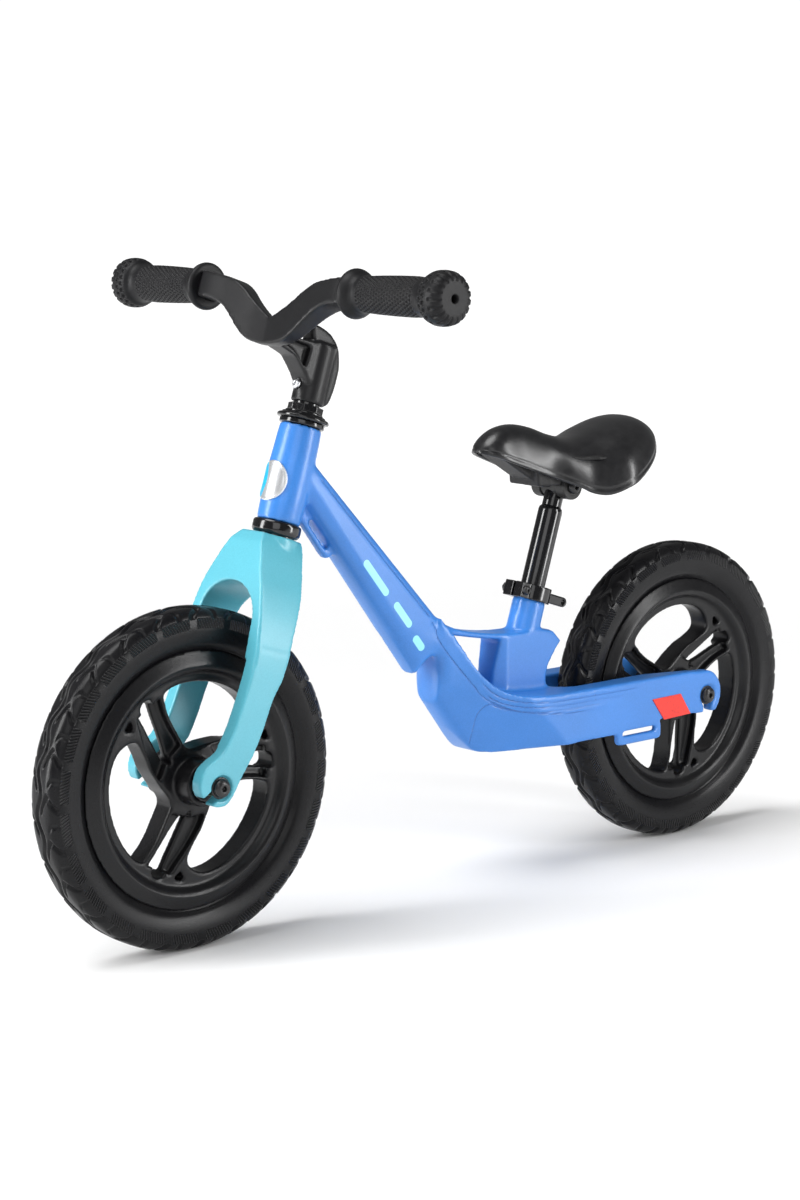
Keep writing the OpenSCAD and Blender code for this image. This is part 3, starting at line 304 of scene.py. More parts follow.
def build_dust():
    """Thin dust on faces that look up, in soft patches."""
    tree, take, give = effect("dust", [("Amount", NUMBER, 0.2), ("Patch", NUMBER, 0.03)],
                              [("Mask", NUMBER)])
    flat = place(tree, "ShaderNodeNewGeometry")
    up = place(tree, "ShaderNodeSeparateXYZ", {0: flat.outputs["Normal"]}).outputs[2]
    where = place(tree, "ShaderNodeTexCoord").outputs["Object"]
    scale = sum_of(tree, "DIVIDE", 1.0, take.outputs["Patch"])
    noise = place(tree, "ShaderNodeTexNoise", {"Vector": where, "Scale": scale, "Detail": 5.0,
                                               "Roughness": 0.65})
    patch = sum_of(tree, "MULTIPLY", spread(tree, noise.outputs[0], 0.35, 0.75),
                   spread(tree, up, -0.2, 1.0, 0.25, 1.0))
    tree.links.new(sum_of(tree, "MULTIPLY", patch, take.outputs["Amount"]), give.inputs["Mask"])
    return tree


def build_scuffs():
    """Hairline scratches: thin bands of stretched noise, thinned out by a patchy mask."""
    tree, take, give = effect("scuffs", [("Amount", NUMBER, 0.3), ("Size", NUMBER, 0.02)],
                              [("Mask", NUMBER)])
    where = place(tree, "ShaderNodeTexCoord").outputs["Object"]
    scale = sum_of(tree, "DIVIDE", 1.0, take.outputs["Size"])
    lines = []
    for turn in ((0.3, 0.9, 0.5), (1.2, 0.2, 1.9)):
        turned = place(tree, "ShaderNodeMapping", {"Vector": where, "Rotation": turn,
                                                   "Scale": (1.0, 22.0, 6.0)})
        noise = place(tree, "ShaderNodeTexNoise", {"Vector": turned.outputs[0], "Scale": scale,
                                                   "Detail": 2.0})
        off = sum_of(tree, "ABSOLUTE", sum_of(tree, "SUBTRACT", noise.outputs[0], 0.5))
        lines.append(spread(tree, off, 0.012, 0.0))
    patch = place(tree, "ShaderNodeTexNoise", {"Vector": where, "Scale": 38.0, "Detail": 2.0})
    both = sum_of(tree, "MAXIMUM", *lines)
    both = sum_of(tree, "MULTIPLY", both, spread(tree, patch.outputs[0], 0.5, 0.7))
    tree.links.new(sum_of(tree, "MULTIPLY", both, take.outputs["Amount"]), give.inputs["Mask"])
    return tree


def build_flake():
    """Pearl flakes: each small cell is lighter or darker than the next."""
    tree, take, give = effect("flake", [("Size", NUMBER, 0.0006)], [("Mask", NUMBER)])
    where = place(tree, "ShaderNodeTexCoord").outputs["Object"]
    scale = sum_of(tree, "DIVIDE", 1.0, take.outputs["Size"])
    cells = place(tree, "ShaderNodeTexVoronoi", {"Vector": where, "Scale": scale})
    tone = place(tree, "ShaderNodeSeparateColor", {0: cells.outputs["Color"]}).outputs[0]
    tree.links.new(tone, give.inputs["Mask"])
    return tree


def build_capsule():
    """Mask of a flat bar with round ends, at a place in the plane of the wheels."""
    tree, take, give = effect("capsule", [("X", NUMBER, 0.0), ("Z", NUMBER, 0.0),
                                          ("Turn", NUMBER, 0.0), ("Half", NUMBER, 0.01),
                                          ("Radius", NUMBER, 0.003)], [("Mask", NUMBER)])
    where = place(tree, "ShaderNodeTexCoord").outputs["Object"]
    part = place(tree, "ShaderNodeSeparateXYZ", {0: where})
    dx = sum_of(tree, "SUBTRACT", part.outputs[0], take.outputs["X"])
    dz = sum_of(tree, "SUBTRACT", part.outputs[2], take.outputs["Z"])
    cosine = sum_of(tree, "COSINE", take.outputs["Turn"])
    sine = sum_of(tree, "SINE", take.outputs["Turn"])
    along = sum_of(tree, "ADD", sum_of(tree, "MULTIPLY", dx, cosine),
                   sum_of(tree, "MULTIPLY", dz, sine))
    across = sum_of(tree, "SUBTRACT", sum_of(tree, "MULTIPLY", dz, cosine),
                    sum_of(tree, "MULTIPLY", dx, sine))
    past = sum_of(tree, "MAXIMUM", sum_of(tree, "SUBTRACT", sum_of(tree, "ABSOLUTE", along),
                                          take.outputs["Half"]), 0.0)
    gap = sum_of(tree, "SQRT", sum_of(tree, "ADD", sum_of(tree, "POWER", past, 2.0),
                                      sum_of(tree, "POWER", across, 2.0)))
    off = sum_of(tree, "SUBTRACT", gap, take.outputs["Radius"])
    tree.links.new(spread(tree, off, 0.00012, -0.00012), give.inputs["Mask"])
    return tree


grain_group = build_grain()
edge_group = build_worn_edge()
dust_group = build_dust()
scuff_group = build_scuffs()
flake_group = build_flake()
capsule_group = build_capsule()


def use(tree, group, **values):
    """Places an effect group in a material with its own values; returns its outputs."""
    return place(tree, "ShaderNodeGroup", values, node_tree=group).outputs


def new_finish(name, **constants):
    """New material with its shader, whose constant sockets are set directly."""
    finish = bpy.data.materials.new(name)
    finish.use_nodes = True
    tree = finish.node_tree
    shader = tree.nodes["Principled BSDF"]
    for key, value in constants.items():
        label = key.replace("_", " ").title().replace("Ior", "IOR")
        shader.inputs[label].default_value = value
    return finish, tree, shader


def coated(name, colour, gloss, coat=0.0, coat_rough=0.2, grain_size=0.0012, grain_depth=0.15,
           wear=0.3, worn_colour=(0.4, 0.4, 0.42), dust=0.05, scuffs=0.25, flake=0.0,
           shine=0.5, metal=0.0, tone=0.12, extra=None):
    """Painted, plated or moulded finish: a base colour with drifting tone, fine grain, edges
    that wear through, hairline scuffs and a little dust."""
    finish, tree, shader = new_finish(name, metallic=metal, coat_weight=coat,
                                      coat_roughness=coat_rough, specular_ior_level=shine)
    edge = use(tree, edge_group, Wear=wear)
    skin = use(tree, grain_group, Size=grain_size, Depth=grain_depth)
    scratch = use(tree, scuff_group, Amount=scuffs, Size=0.03)["Mask"]
    dirt = use(tree, dust_group, Amount=dust, Patch=0.04)["Mask"]
    where = place(tree, "ShaderNodeTexCoord").outputs["Object"]
    drift = place(tree, "ShaderNodeTexNoise", {"Vector": where, "Scale": 14.0, "Detail": 3.0})
    shade = spread(tree, drift.outputs[0], 0.3, 0.7)
    light = tuple(min(1.0, c * (1 + tone)) for c in colour)
    dark = tuple(c * (1 - tone) for c in colour)
    base = blend_colour(tree, shade, dark, light)
    normal = skin["Normal"]
    if flake:
        spark = use(tree, flake_group, Size=0.0007)["Mask"]
        base = blend_colour(tree, sum_of(tree, "MULTIPLY", spark, flake), base,
                            tuple(min(1.0, c * 1.6 + 0.06) for c in colour))
    if extra:
        base, normal = extra(tree, base, normal)
    base = blend_colour(tree, scratch, base, tuple(min(1.0, c * 1.4 + 0.05) for c in colour))
    base = blend_colour(tree, edge["Mask"], base, worn_colour)
    base = blend_colour(tree, dirt, base, (0.42, 0.40, 0.37))
    rough = sum_of(tree, "ADD", spread(tree, skin["Mask"], 0.3, 0.7, gloss - 0.03, gloss + 0.04),
                   sum_of(tree, "MULTIPLY", sum_of(tree, "ADD", scratch, dirt), 0.35))
    tree.links.new(base, shader.inputs["Base Color"])
    tree.links.new(rough, shader.inputs["Roughness"])
    tree.links.new(normal, shader.inputs["Normal"])
    return finish


# ---- finishes ----------------------------------------------------------------
def pressed_lines_with_painted_shade(tree, base, normal):
    """Thin pressed lines where the crease attribute, a distance in millimetres, is small: bumped
    in, and darkened with painted shade.
    """
    gap = place(tree, "ShaderNodeAttribute", attribute_name="crease").outputs["Fac"]
    line = spread(tree, gap, 1.1, 0.15)
    # Painted shade: the paint is darkened towards deep blue along the pressed lines.
    base = blend_colour(tree, sum_of(tree, "MULTIPLY", line, 0.55), base, (0.03, 0.10, 0.36))
    height = sum_of(tree, "MULTIPLY", line, -1.0)
    bump = place(tree, "ShaderNodeBump", {"Height": height, "Distance": 0.0007, "Strength": 0.8,
                                          "Normal": normal})
    return base, bump.outputs[0]


def stripes_and_lines(tree, base, normal):
    """Pressed lines with painted shade, and three pale bars with round ends along each side of the
    down tube.
    """
    base, normal = pressed_lines_with_painted_shade(tree, base, normal)
    flat = place(tree, "ShaderNodeNewGeometry").outputs["Normal"]
    side = sum_of(tree, "ABSOLUTE", place(tree, "ShaderNodeSeparateXYZ", {0: flat}).outputs[1])
    outward = spread(tree, side, 0.25, 0.35)
    shown = None
    for x, z, half, radius in tube_bars:
        bar = use(tree, capsule_group, X=x * MM, Z=z * MM, Turn=math.radians(tube_bar_turn),
                  Half=half * MM, Radius=radius * MM)["Mask"]
        shown = bar if shown is None else sum_of(tree, "MAXIMUM", shown, bar)
    return blend_colour(tree, sum_of(tree, "MULTIPLY", shown, outward), base,
                        (0.30, 0.76, 0.80)), normal


tube_bar_turn = 51
tube_bars = [(97, 288, 17, 3.4), (67, 253, 11, 3.4), (48, 226, 5, 3.4)]

frame_paint = coated("frame_paint_pearl_blue", (0.032, 0.190, 0.58), 0.32, coat=0.15,
                     coat_rough=0.22, grain_size=0.0016, grain_depth=0.05, wear=0.12,
                     worn_colour=(0.22, 0.42, 0.80),
                     dust=0.02, scuffs=0.05, flake=0.16, tone=0.05, extra=stripes_and_lines)
fork_paint = coated("fork_paint_turquoise", (0.085, 0.40, 0.50), 0.34, coat=0.22, coat_rough=0.24,
                    grain_size=0.0016, grain_depth=0.05, wear=0.12, worn_colour=(0.42, 0.75, 0.82),
                    dust=0.02, scuffs=0.05, flake=0.14, tone=0.05)
satin_black = coated("satin_black_powder_coat", (0.006, 0.006, 0.007), 0.36, grain_size=0.0009,
                     grain_depth=0.12, wear=0.08, worn_colour=(0.07, 0.07, 0.075), dust=0.012,
                     scuffs=0.10, shine=0.32)
gloss_black = coated("gloss_black_dip_coat", (0.004, 0.004, 0.005), 0.14, coat=0.35,
                     coat_rough=0.06, grain_size=0.004, grain_depth=0.03, wear=0.08,
                     worn_colour=(0.10, 0.10, 0.11),
                     dust=0.01, scuffs=0.08, shine=0.4)
bolt_black = coated("black_oxide_bolts", (0.010, 0.010, 0.011), 0.30, grain_size=0.0006,
                    grain_depth=0.08, wear=0.35, worn_colour=(0.25, 0.25, 0.26), dust=0.03,
                    scuffs=0.15)
clamp_black = coated("black_coated_clamp", (0.012, 0.012, 0.012), 0.42, grain_size=0.0008,
                     grain_depth=0.12, wear=0.25, worn_colour=(0.2, 0.2, 0.2), shine=0.4)
steel = coated("bright_zinc_steel", (0.60, 0.61, 0.63), 0.27, grain_size=0.0005, grain_depth=0.06,
               wear=0.2, worn_colour=(0.75, 0.75, 0.76), scuffs=0.4, metal=1.0)
zinc = coated("yellow_zinc_plating", (0.36, 0.31, 0.19), 0.42, grain_size=0.0006, grain_depth=0.1,
              wear=0.3, worn_colour=(0.55, 0.52, 0.42), scuffs=0.4, metal=0.9, tone=0.25)
rim_plastic = coated("rim_nylon_black", (0.005, 0.005, 0.006), 0.30, grain_size=0.0007,
                     grain_depth=0.10, wear=0.05, worn_colour=(0.05, 0.05, 0.05), dust=0.015,
                     scuffs=0.06, shine=0.28)
saddle_plastic = coated("saddle_base_plastic", (0.010, 0.010, 0.011), 0.50, grain_size=0.0010,
                        grain_depth=0.25, wear=0.06, worn_colour=(0.05, 0.05, 0.05), shine=0.3)
grip_rubber = coated("grip_rubber_matt", (0.006, 0.006, 0.007), 0.42, grain_size=0.0005,
                     grain_depth=0.20, wear=0.05, worn_colour=(0.05, 0.05, 0.05), dust=0.02,
                     scuffs=0.04, shine=0.2)


def tyre_hatch(tree, base, normal):
    """Groups of fine slanted ribs on each shoulder: a wave along the tyre that slips with the
    girth attribute, the section radius in millimetres, shown where the hatch attribute is 1.
    The rib crests are painted lighter, a painted highlight."""
    uv = place(tree, "ShaderNodeUVMap", uv_map="around").outputs[0]
    along = place(tree, "ShaderNodeSeparateXYZ", {0: uv}).outputs[0]
    girth = place(tree, "ShaderNodeAttribute", attribute_name="girth").outputs["Fac"]
    shown = place(tree, "ShaderNodeAttribute", attribute_name="hatch").outputs["Fac"]
    phase = sum_of(tree, "ADD", sum_of(tree, "MULTIPLY", along, 2 * math.pi * hatch_count),
                   sum_of(tree, "MULTIPLY", girth, hatch_slip))
    ribs = sum_of(tree, "SINE", phase)
    bump = place(tree, "ShaderNodeBump", {"Height": sum_of(tree, "MULTIPLY", ribs, shown),
                                          "Distance": 0.0008, "Strength": 1.0, "Normal": normal})
    # Painted highlight: the rib crests are blended towards a lighter grey.
    painted_rib_highlight = sum_of(tree, "MULTIPLY", spread(tree, ribs, -0.4, 0.9),
                  sum_of(tree, "MULTIPLY", shown, 0.6))
    return blend_colour(tree, painted_rib_highlight, base, (0.035, 0.035, 0.037)), bump.outputs[0]


hatch_count = 320
hatch_slip = 1.1
tyre_foam = coated("tyre_foam_black", (0.004, 0.004, 0.005), 0.30, grain_size=0.0011,
                   grain_depth=0.12, wear=0.0, dust=0.015, scuffs=0.05, shine=0.22, tone=0.15,
                   extra=tyre_hatch)


def vinyl():
    """Satin synthetic leather: cell-like pebbles, faint creases and a soft sheen."""
    finish, tree, shader = new_finish("saddle_vinyl_black", sheen_weight=0.04, sheen_roughness=0.4,
                                      specular_ior_level=0.6)
    where = place(tree, "ShaderNodeTexCoord").outputs["Object"]
    pebble = place(tree, "ShaderNodeTexVoronoi", {"Vector": where, "Scale": 950.0},
                   feature="SMOOTH_F1")
    skin = use(tree, grain_group, Size=0.006, Depth=0.03)
    bump = place(tree, "ShaderNodeBump", {"Height": pebble.outputs["Distance"], "Distance": 0.00025,
                                          "Strength": 0.12, "Normal": skin["Normal"]})
    dirt = use(tree, dust_group, Amount=0.012, Patch=0.03)["Mask"]
    rub = use(tree, scuff_group, Amount=0.04, Size=0.04)["Mask"]
    base = blend_colour(tree, spread(tree, skin["Mask"], 0.3, 0.7), (0.004, 0.004, 0.005),
                        (0.007, 0.007, 0.008))
    base = blend_colour(tree, sum_of(tree, "MAXIMUM", dirt, rub), base, (0.25, 0.24, 0.23))
    rough = sum_of(tree, "ADD", spread(tree, skin["Mask"], 0.3, 0.7, 0.28, 0.32),
                   sum_of(tree, "MULTIPLY", dirt, 0.5))
    tree.links.new(base, shader.inputs["Base Color"])
    tree.links.new(rough, shader.inputs["Roughness"])
    tree.links.new(bump.outputs[0], shader.inputs["Normal"])
    return finish


def foil_badge():
    """Brushed silver foil with a cyan segment on one side, under a clear resin dome."""
    finish, tree, shader = new_finish("badge_foil", coat_weight=0.8, coat_roughness=0.08)
    uv = place(tree, "ShaderNodeUVMap", uv_map="disc").outputs[0]
    part = place(tree, "ShaderNodeSeparateXYZ", {0: uv})
    across, up = sum_of(tree, "MULTIPLY", part.outputs[0], -1.0), part.outputs[1]
    stretched = place(tree, "ShaderNodeMapping", {"Vector": uv, "Scale": (2.0, 60.0, 1.0)})
    brushed = place(tree, "ShaderNodeTexNoise", {"Vector": stretched.outputs[0], "Scale": 6.0,
                                                 "Detail": 4.0})
    silver = blend_colour(tree, spread(tree, brushed.outputs[0], 0.35, 0.65), (0.62, 0.64, 0.66),
                          (0.82, 0.83, 0.85))
    curve = sum_of(tree, "MULTIPLY", sum_of(tree, "POWER", up, 2.0), 0.35)
    edge = sum_of(tree, "SUBTRACT", across, sum_of(tree, "SUBTRACT", curve, -0.12))
    cyan = spread(tree, edge, -0.01, 0.01)
    base = blend_colour(tree, cyan, silver, (0.0, 0.43, 0.80))
    metal = sum_of(tree, "MULTIPLY", sum_of(tree, "SUBTRACT", 1.0, cyan), 0.75)
    rough = spread(tree, brushed.outputs[0], 0.3, 0.7, 0.24, 0.36)
    tree.links.new(base, shader.inputs["Base Color"])
    tree.links.new(metal, shader.inputs["Metallic"])
    tree.links.new(rough, shader.inputs["Roughness"])
    return finish


def reflective_film():
    """Orange-red reflective film: a fine lattice of cells under a clear gloss face."""
    finish, tree, shader = new_finish("reflective_film", coat_weight=0.3, coat_roughness=0.12,
                                      specular_ior_level=0.3)
    where = place(tree, "ShaderNodeTexCoord").outputs["Object"]
    cells = place(tree, "ShaderNodeTexVoronoi", {"Vector": where, "Scale": 520.0},
                  feature="DISTANCE_TO_EDGE")
    skin = use(tree, grain_group, Size=0.002, Depth=0.05)
    wall = spread(tree, cells.outputs["Distance"], 0.10, 0.02)
    base = blend_colour(tree, wall, (0.84, 0.030, 0.016), (0.60, 0.016, 0.010))
    dirt = use(tree, dust_group, Amount=0.05, Patch=0.02)["Mask"]
    base = blend_colour(tree, dirt, base, (0.6, 0.4, 0.35))
    rough = spread(tree, skin["Mask"], 0.3, 0.7, 0.30, 0.40)
    tree.links.new(base, shader.inputs["Base Color"])
    tree.links.new(rough, shader.inputs["Roughness"])
    tree.links.new(skin["Normal"], shader.inputs["Normal"])
    return finish


saddle_vinyl = vinyl()
badge_foil = foil_badge()
reflector_film = reflective_film()

finish_of_slot = {
    "frame_paint": frame_paint, "fork_paint": fork_paint, "satin_black": satin_black,
    "gloss_black": gloss_black, "bolt_black": bolt_black, "clamp_black": clamp_black,
    "steel": steel, "zinc": zinc, "rim_plastic": rim_plastic, "tyre_foam": tyre_foam,
    "grip_rubber": grip_rubber, "saddle_plastic": saddle_plastic, "saddle_vinyl": saddle_vinyl,
    "badge": badge_foil, "reflector": reflector_film,
}


def dress(piece, slot, body, *stands_for):
    """Gives a new piece its finish, its body, and the CAD nodes that it stands for."""
    piece.data.materials.clear()
    piece.data.materials.append(finish_of_slot[slot])
    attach(piece, body)
    if stands_for:
        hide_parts(*stands_for)
    return piece


# ---- cast frame --------------------------------------------------------------
top_edge = [[20, 241.5], [10, 229], [0, 214], [-12, 196], [-29, 179], [-49, 171], [-72, 168],
            [-89, 167], [-144, 167], [-209, 167]]
loop_line = [[34, 243], [29, 236], [25, 224], [-2, 189], [-19, 170], [-49, 156], [-95, 149],
             [-144, 148]]
crease_line = [[-13, 121], [-14, 140], [-15, 155], [-22, 163.5], [-32, 163]]
tube_line = [[160, 380], [96, 311], [33, 245]]


def offset_top(drop, start, end):
    """Line that runs a given drop inside the top edge of a stay."""
    line = smooth_curve(top_edge, 6)
    along = np.gradient(line, axis=0)
    along /= np.linalg.norm(along, axis=1)[:, None]
    inside = line + drop * np.stack([-along[:, 1], along[:, 0]], 1)
    return inside[(inside[:, 0] < start) & (inside[:, 0] > end)]


def frame_hold(points):
    """How much each point of the frame keeps its place while edges are rounded off."""
    x, y, z = points.T
    join = np.hypot((x - 18) / 52, (z - 188) / 62)
    tabs = (1 - ramp(127, 131, z)) * (abs(x + 195) < 40) * (abs(y) > 42)
    eyes = ramp(-258, -266, x)
    loop = (z < 340) * (x > 80) * (abs(y) < 6) * ramp(0, 3, -(z - 368) * 0.607 + (x - 176) * 0.794)
    clamp_end = ramp(236, 244, z) * (x < -60)
    plain = 0.45 * ramp(0.75, 1.0, join)
    return np.clip(np.maximum.reduce([tabs * 0.7, eyes * 0.5, loop * 0.7, clamp_end * 0.6, plain]),
                   0, 1)


def frame_melt(points):
    """Where the down tube flows into the bow of the frame."""
    x, y, z = points.T
    return ramp(1.0, 0.5, np.hypot((x - 52) / 44, (z - 203) / 42)) * (abs(y) > 8)


def make_frame():
    """Cast frame with rounded edges, a stepped side panel, and a crease attribute that holds
    the distance to the nearest pressed line."""
    piece = soft_casting("cast_frame", "frame_casting", 1.55 * MM, 7, 9, frame_hold,
                         frame_melt)
    points = of_vertices(piece.data)
    normals = of_vertices(piece.data, "normal")
    flat = points[:, [0, 2]] / MM
    outward = ramp(0.25, 0.6, normals[:, 1] * np.sign(points[:, 1])) * (abs(points[:, 1]) > 14 * MM)
    gap = np.full(len(points), 50.0)
    for line, fade_in, fade_out in ((smooth_curve(loop_line, 6), 0.0, 0.12),
                                    (smooth_curve(crease_line, 6), 0.0, 0.0),
                                    (smooth_curve(tube_line, 4), 0.05, 0.05),
                                    (offset_top(6, -6, -212), 0.10, 0.08),
                                    (offset_top(10.5, -10, -205), 0.10, 0.10),
                                    (offset_top(15, -16, -190), 0.12, 0.15)):
        near, place_on = distance_to_line(flat, line)
        ends = 1 - ramp(0, max(fade_in, 1e-3), place_on)
        ends = ends + ramp(1 - max(fade_out, 1e-3), 1, place_on)
        gap = np.minimum(gap, near + 1.4 * ends)
    gap = gap + 5 * (1 - outward)
    panel_edge = np.vstack([smooth_curve(crease_line, 6), smooth_curve(loop_line[4:], 6)])
    below_line = np.interp(flat[:, 0], panel_edge[::-1, 0], panel_edge[::-1, 1])
    inside = ramp(-13.5, -15.5, flat[:, 0]) * ramp(-0.5, 1.5, below_line - flat[:, 1])
    panel = inside * ramp(-190, -40, flat[:, 0]) * outward
    step = -0.7 * panel - 0.35 * ramp(1.3, 0.2, gap)
    points += normals * (step * MM)[:, None]
    piece.data.vertices.foreach_set("co", points.ravel())
    give_attribute(piece, "crease", gap)
    return dress(piece, "frame_paint", "frame", "frame_casting")


make_frame()


# ---- cast fork and handlebar -------------------------------------------------
def fork_hold(points):
    """The dropouts keep their place while the rest of the fork is rounded off."""
    x, y, z = points.T
    return 0.5 * ramp(30, 22, np.hypot(x - front_hub[0] / MM, z - front_hub[2] / MM))


cast_fork = soft_casting("cast_fork", "fork_casting", 1.25 * MM, 7, 3, fork_hold)
dress(cast_fork, "fork_paint", "steering", "fork_casting")
cast_handlebar = soft_casting("cast_handlebar", "handlebar", 1.15 * MM, 8, 7)
dress(cast_handlebar, "satin_black", "steering", "handlebar")


# ---- wheels ------------------------------------------------------------------
def make_rim(name, node, body):
    """Moulded rim and spokes with soft edges."""
    piece = soft_casting(name, node, 1.25 * MM, 8, 3)
    return dress(piece, "rim_plastic", body, node)


make_rim("front_wheel_rim", "front_rim", "front_wheel")
make_rim("rear_wheel_rim", "rear_rim", "rear_wheel")

tyre_side = [[108, 12], [109.5, 13.4], [114, 16.2], [124, 18], [133, 17.2], [138.4, 13.5],
             [140.6, 9], [141, 4]]
lug_count = 24
tread_start = 132.6
hatch_low, hatch_high = 125.4, 133.4
lug_depth = 2.4


def tyre_grooves(turn, y):
    """Depth share of the tread at an angle, in turns, and an offset from the middle in
    millimetres. Each lug has a bent groove from the middle to each shoulder, half a lug apart
    on the two sides, a short notch between them, and all lugs share a wavy middle groove."""
    lug = turn * lug_count
    arc = 2 * math.pi * 141 / lug_count
    side = np.where(y >= 0, 1.0, -1.0)
    out = abs(y)

    def near(offset):
        part = lug + 0.25 * side - offset
        return abs(part - np.round(part)) * arc

    sweep = 0.44 * ramp(0, 10, out) - 0.26 * ramp(9, 17, out)
    main = (1 - ramp(1.4, 3.6, near(sweep))) * ramp(2.0, 4.0, out)
    notch = 1 - ramp(0.8, 2.4, near(0.5 + 0.30 * ramp(6, 13, out)))
    notch = notch * ramp(9.5, 11.5, out) * 0.6
    wave = 2.8 * np.sin(2 * math.pi * lug)
    centre = 0.8 * (1 - ramp(0.8, 2.6, abs(y - wave)))
    return np.maximum.reduce([main, notch, centre])


def make_tyre(name, node, body, centre):
    """Tyre as a profile carried round the axle. The profile is a smooth side curve, its
    mirror image and the bed on the rim; the tread is pressed in along the radius, and the
    hatch attribute marks the groups of ribs beside it, one to a lug."""
    side = smooth_curve(tyre_side, 12)
    crown = np.vstack([side, [[141, 0]], side[::-1] * [1, -1]])
    crown = even_steps(crown, 0.72)
    bed = np.array([[104, -10.8], [102, -9], [102, 0], [102, 9], [104, 10.8]])
    profile = np.vstack([crown, bed])
    turn = np.arange(704) / 704
    radius, offset = profile[:, :1] + 0 * turn, profile[:, 1:] + 0 * turn
    tread = tyre_grooves(turn[None, :] + 0 * radius, offset)
    tread = tread * ramp(tread_start, tread_start + 2, radius)
    girth = radius + 0 * tread
    group = turn[None, :] * lug_count + 0.25 * np.sign(offset) - 0.18
    group = abs(group - np.round(group))
    hatch = ramp(hatch_low, hatch_low + 0.6, girth) * ramp(hatch_high, hatch_high - 0.6, girth)
    hatch = hatch * ramp(0.10, 0.13, group)
    edge = abs(offset) / 18
    radius = radius - lug_depth * tread * (1 - 0.35 * edge**4)
    offset = offset - np.sign(offset) * 0.7 * tread * ramp(9, 15, abs(offset))
    angle = 2 * math.pi * turn
    points = np.stack([radius * np.cos(angle), offset, radius * np.sin(angle)], -1) * MM + centre
    piece = grid_piece(name, points, wrap_rows=True, wrap_columns=True)
    give_attribute(piece, "girth", girth.ravel())
    give_attribute(piece, "hatch", hatch.ravel())
    return dress(piece, "tyre_foam", body, node)


make_tyre("front_wheel_tyre", "front_tyre", "front_wheel", front_hub)
make_tyre("rear_wheel_tyre", "rear_tyre", "rear_wheel", rear_hub)


# ---- grips -------------------------------------------------------------------
grip_profile = [[11.3, 94], [17, 93.9], [19.4, 95.2], [20, 98], [18.4, 101.8], [15.6, 106],
                [14.6, 111], [15.3, 130], [15.8, 150], [15.9, 168], [15.4, 180], [16.6, 186.5],
                [19.6, 190.5], [21.2, 195], [21.5, 201], [20.6, 206.5], [18.2, 210], [14.5, 211.7],
                [9, 212], [4, 212]]


def grip_relief(turn, y):
    """Depth in millimetres of the grip's pattern: staggered rows of small dimples on the
    barrel, two rows of larger ones on the knob, and notches round its outer edge."""
    def holes(count, pitch, first, around, small, large):
        row = (y - first) / pitch
        part = turn * count + 0.5 * (np.round(row) % 2)
        gap = np.hypot((part - np.round(part)) * 2 * math.pi * around / count,
                       (row - np.round(row)) * pitch)
        return 1 - ramp(small, large, gap)

    barrel = 0.95 * holes(30, 3.2, 110, 15.6, 0.75, 1.3)
    barrel = barrel * ramp(111, 112, y) * (1 - ramp(179, 180, y))
    knob = 1.7 * holes(22, 4.8, 193.2, 21, 1.3, 2.1)
    knob = knob * ramp(190.2, 191.2, y) * (1 - ramp(200.5, 201.5, y))
    part = turn * 18
    notch = 1.3 * (1 - ramp(0.8, 1.6, abs(part - np.round(part)) * 2 * math.pi * 19 / 18))
    return barrel + knob + notch * ramp(203, 204.5, y)


def make_grip(name, node, side):
    """Grip as a profile turned round the bar, with its relief pressed in along the radius."""
    outer = even_steps(smooth_curve(grip_profile, 8), 0.52)
    inner = np.array([[3.2, 211.4], [3, 208], [3, 204.6], [8, 204.6], [11.2, 204.6], [11.2, 160]])
    turn = np.arange(264) / 264
    radius, along = outer[:, :1] + 0 * turn, outer[:, 1:] + 0 * turn
    relief = grip_relief(turn[None, :] + 0 * radius, along)
    radius = radius - relief * (1 - ramp(211.5, 212, along)) * ramp(12, 14.2, radius)
    inner_radius, inner_along = inner[:, :1] + 0 * turn, inner[:, 1:] + 0 * turn
    radius, along = np.vstack([radius, inner_radius]), np.vstack([along, inner_along])
    angle = 2 * math.pi * turn
    points = np.stack([radius * np.cos(angle), side * along, radius * np.sin(angle)], -1) * MM
    points = points + bar_centre
    piece = grid_piece(name, points, wrap_rows=True, wrap_columns=True)
    return dress(piece, "grip_rubber", "steering", node)


make_grip("left_hand_grip", "left_grip", 1)
make_grip("right_hand_grip", "right_grip", -1)


# ---- saddle ------------------------------------------------------------------
pad_top = [[0, 38], [-8, 48], [-22, 56], [-40, 58.5], [-60, 55], [-80, 48], [-99, 44],
           [-118, 45], [-140, 51], [-162, 57.5], [-180, 59], [-194, 54], [-201, 48], [-206, 41]]
pad_seam = [[-206, 39], [-201, 38], [-194, 34], [-184, 26], [-171, 17.5], [-158, 10], [-146, 4],
            [-136, 0], [-126, -4], [-116, -6], [-105, -4], [-95, 1], [-80, 7], [-70, 11],
            [-40, 22], [-15, 31], [0, 36]]
pad_plan = [[0, 4], [-6, 13], [-18, 19], [-40, 22], [-68, 27], [-87, 35.5], [-98, 40], [-108, 44],
            [-120, 51], [-132, 56], [-143, 58], [-158, 55], [-172, 50], [-184, 43], [-194, 33],
            [-201, 21], [-206, 4]]
pad_ceiling = [[-206, 33], [-178, 33], [-160, 32], [-130, 29], [-100, 28], [-60, 32], [-30, 36],
               [0, 39]]


def read_curve(outline, x):
    """Height or width of an outline at lengths x, read from its smooth curve."""
    line = smooth_curve(outline, 12)
    line = line[np.argsort(line[:, 0])]
    return np.interp(x, line[:, 0], line[:, 1])


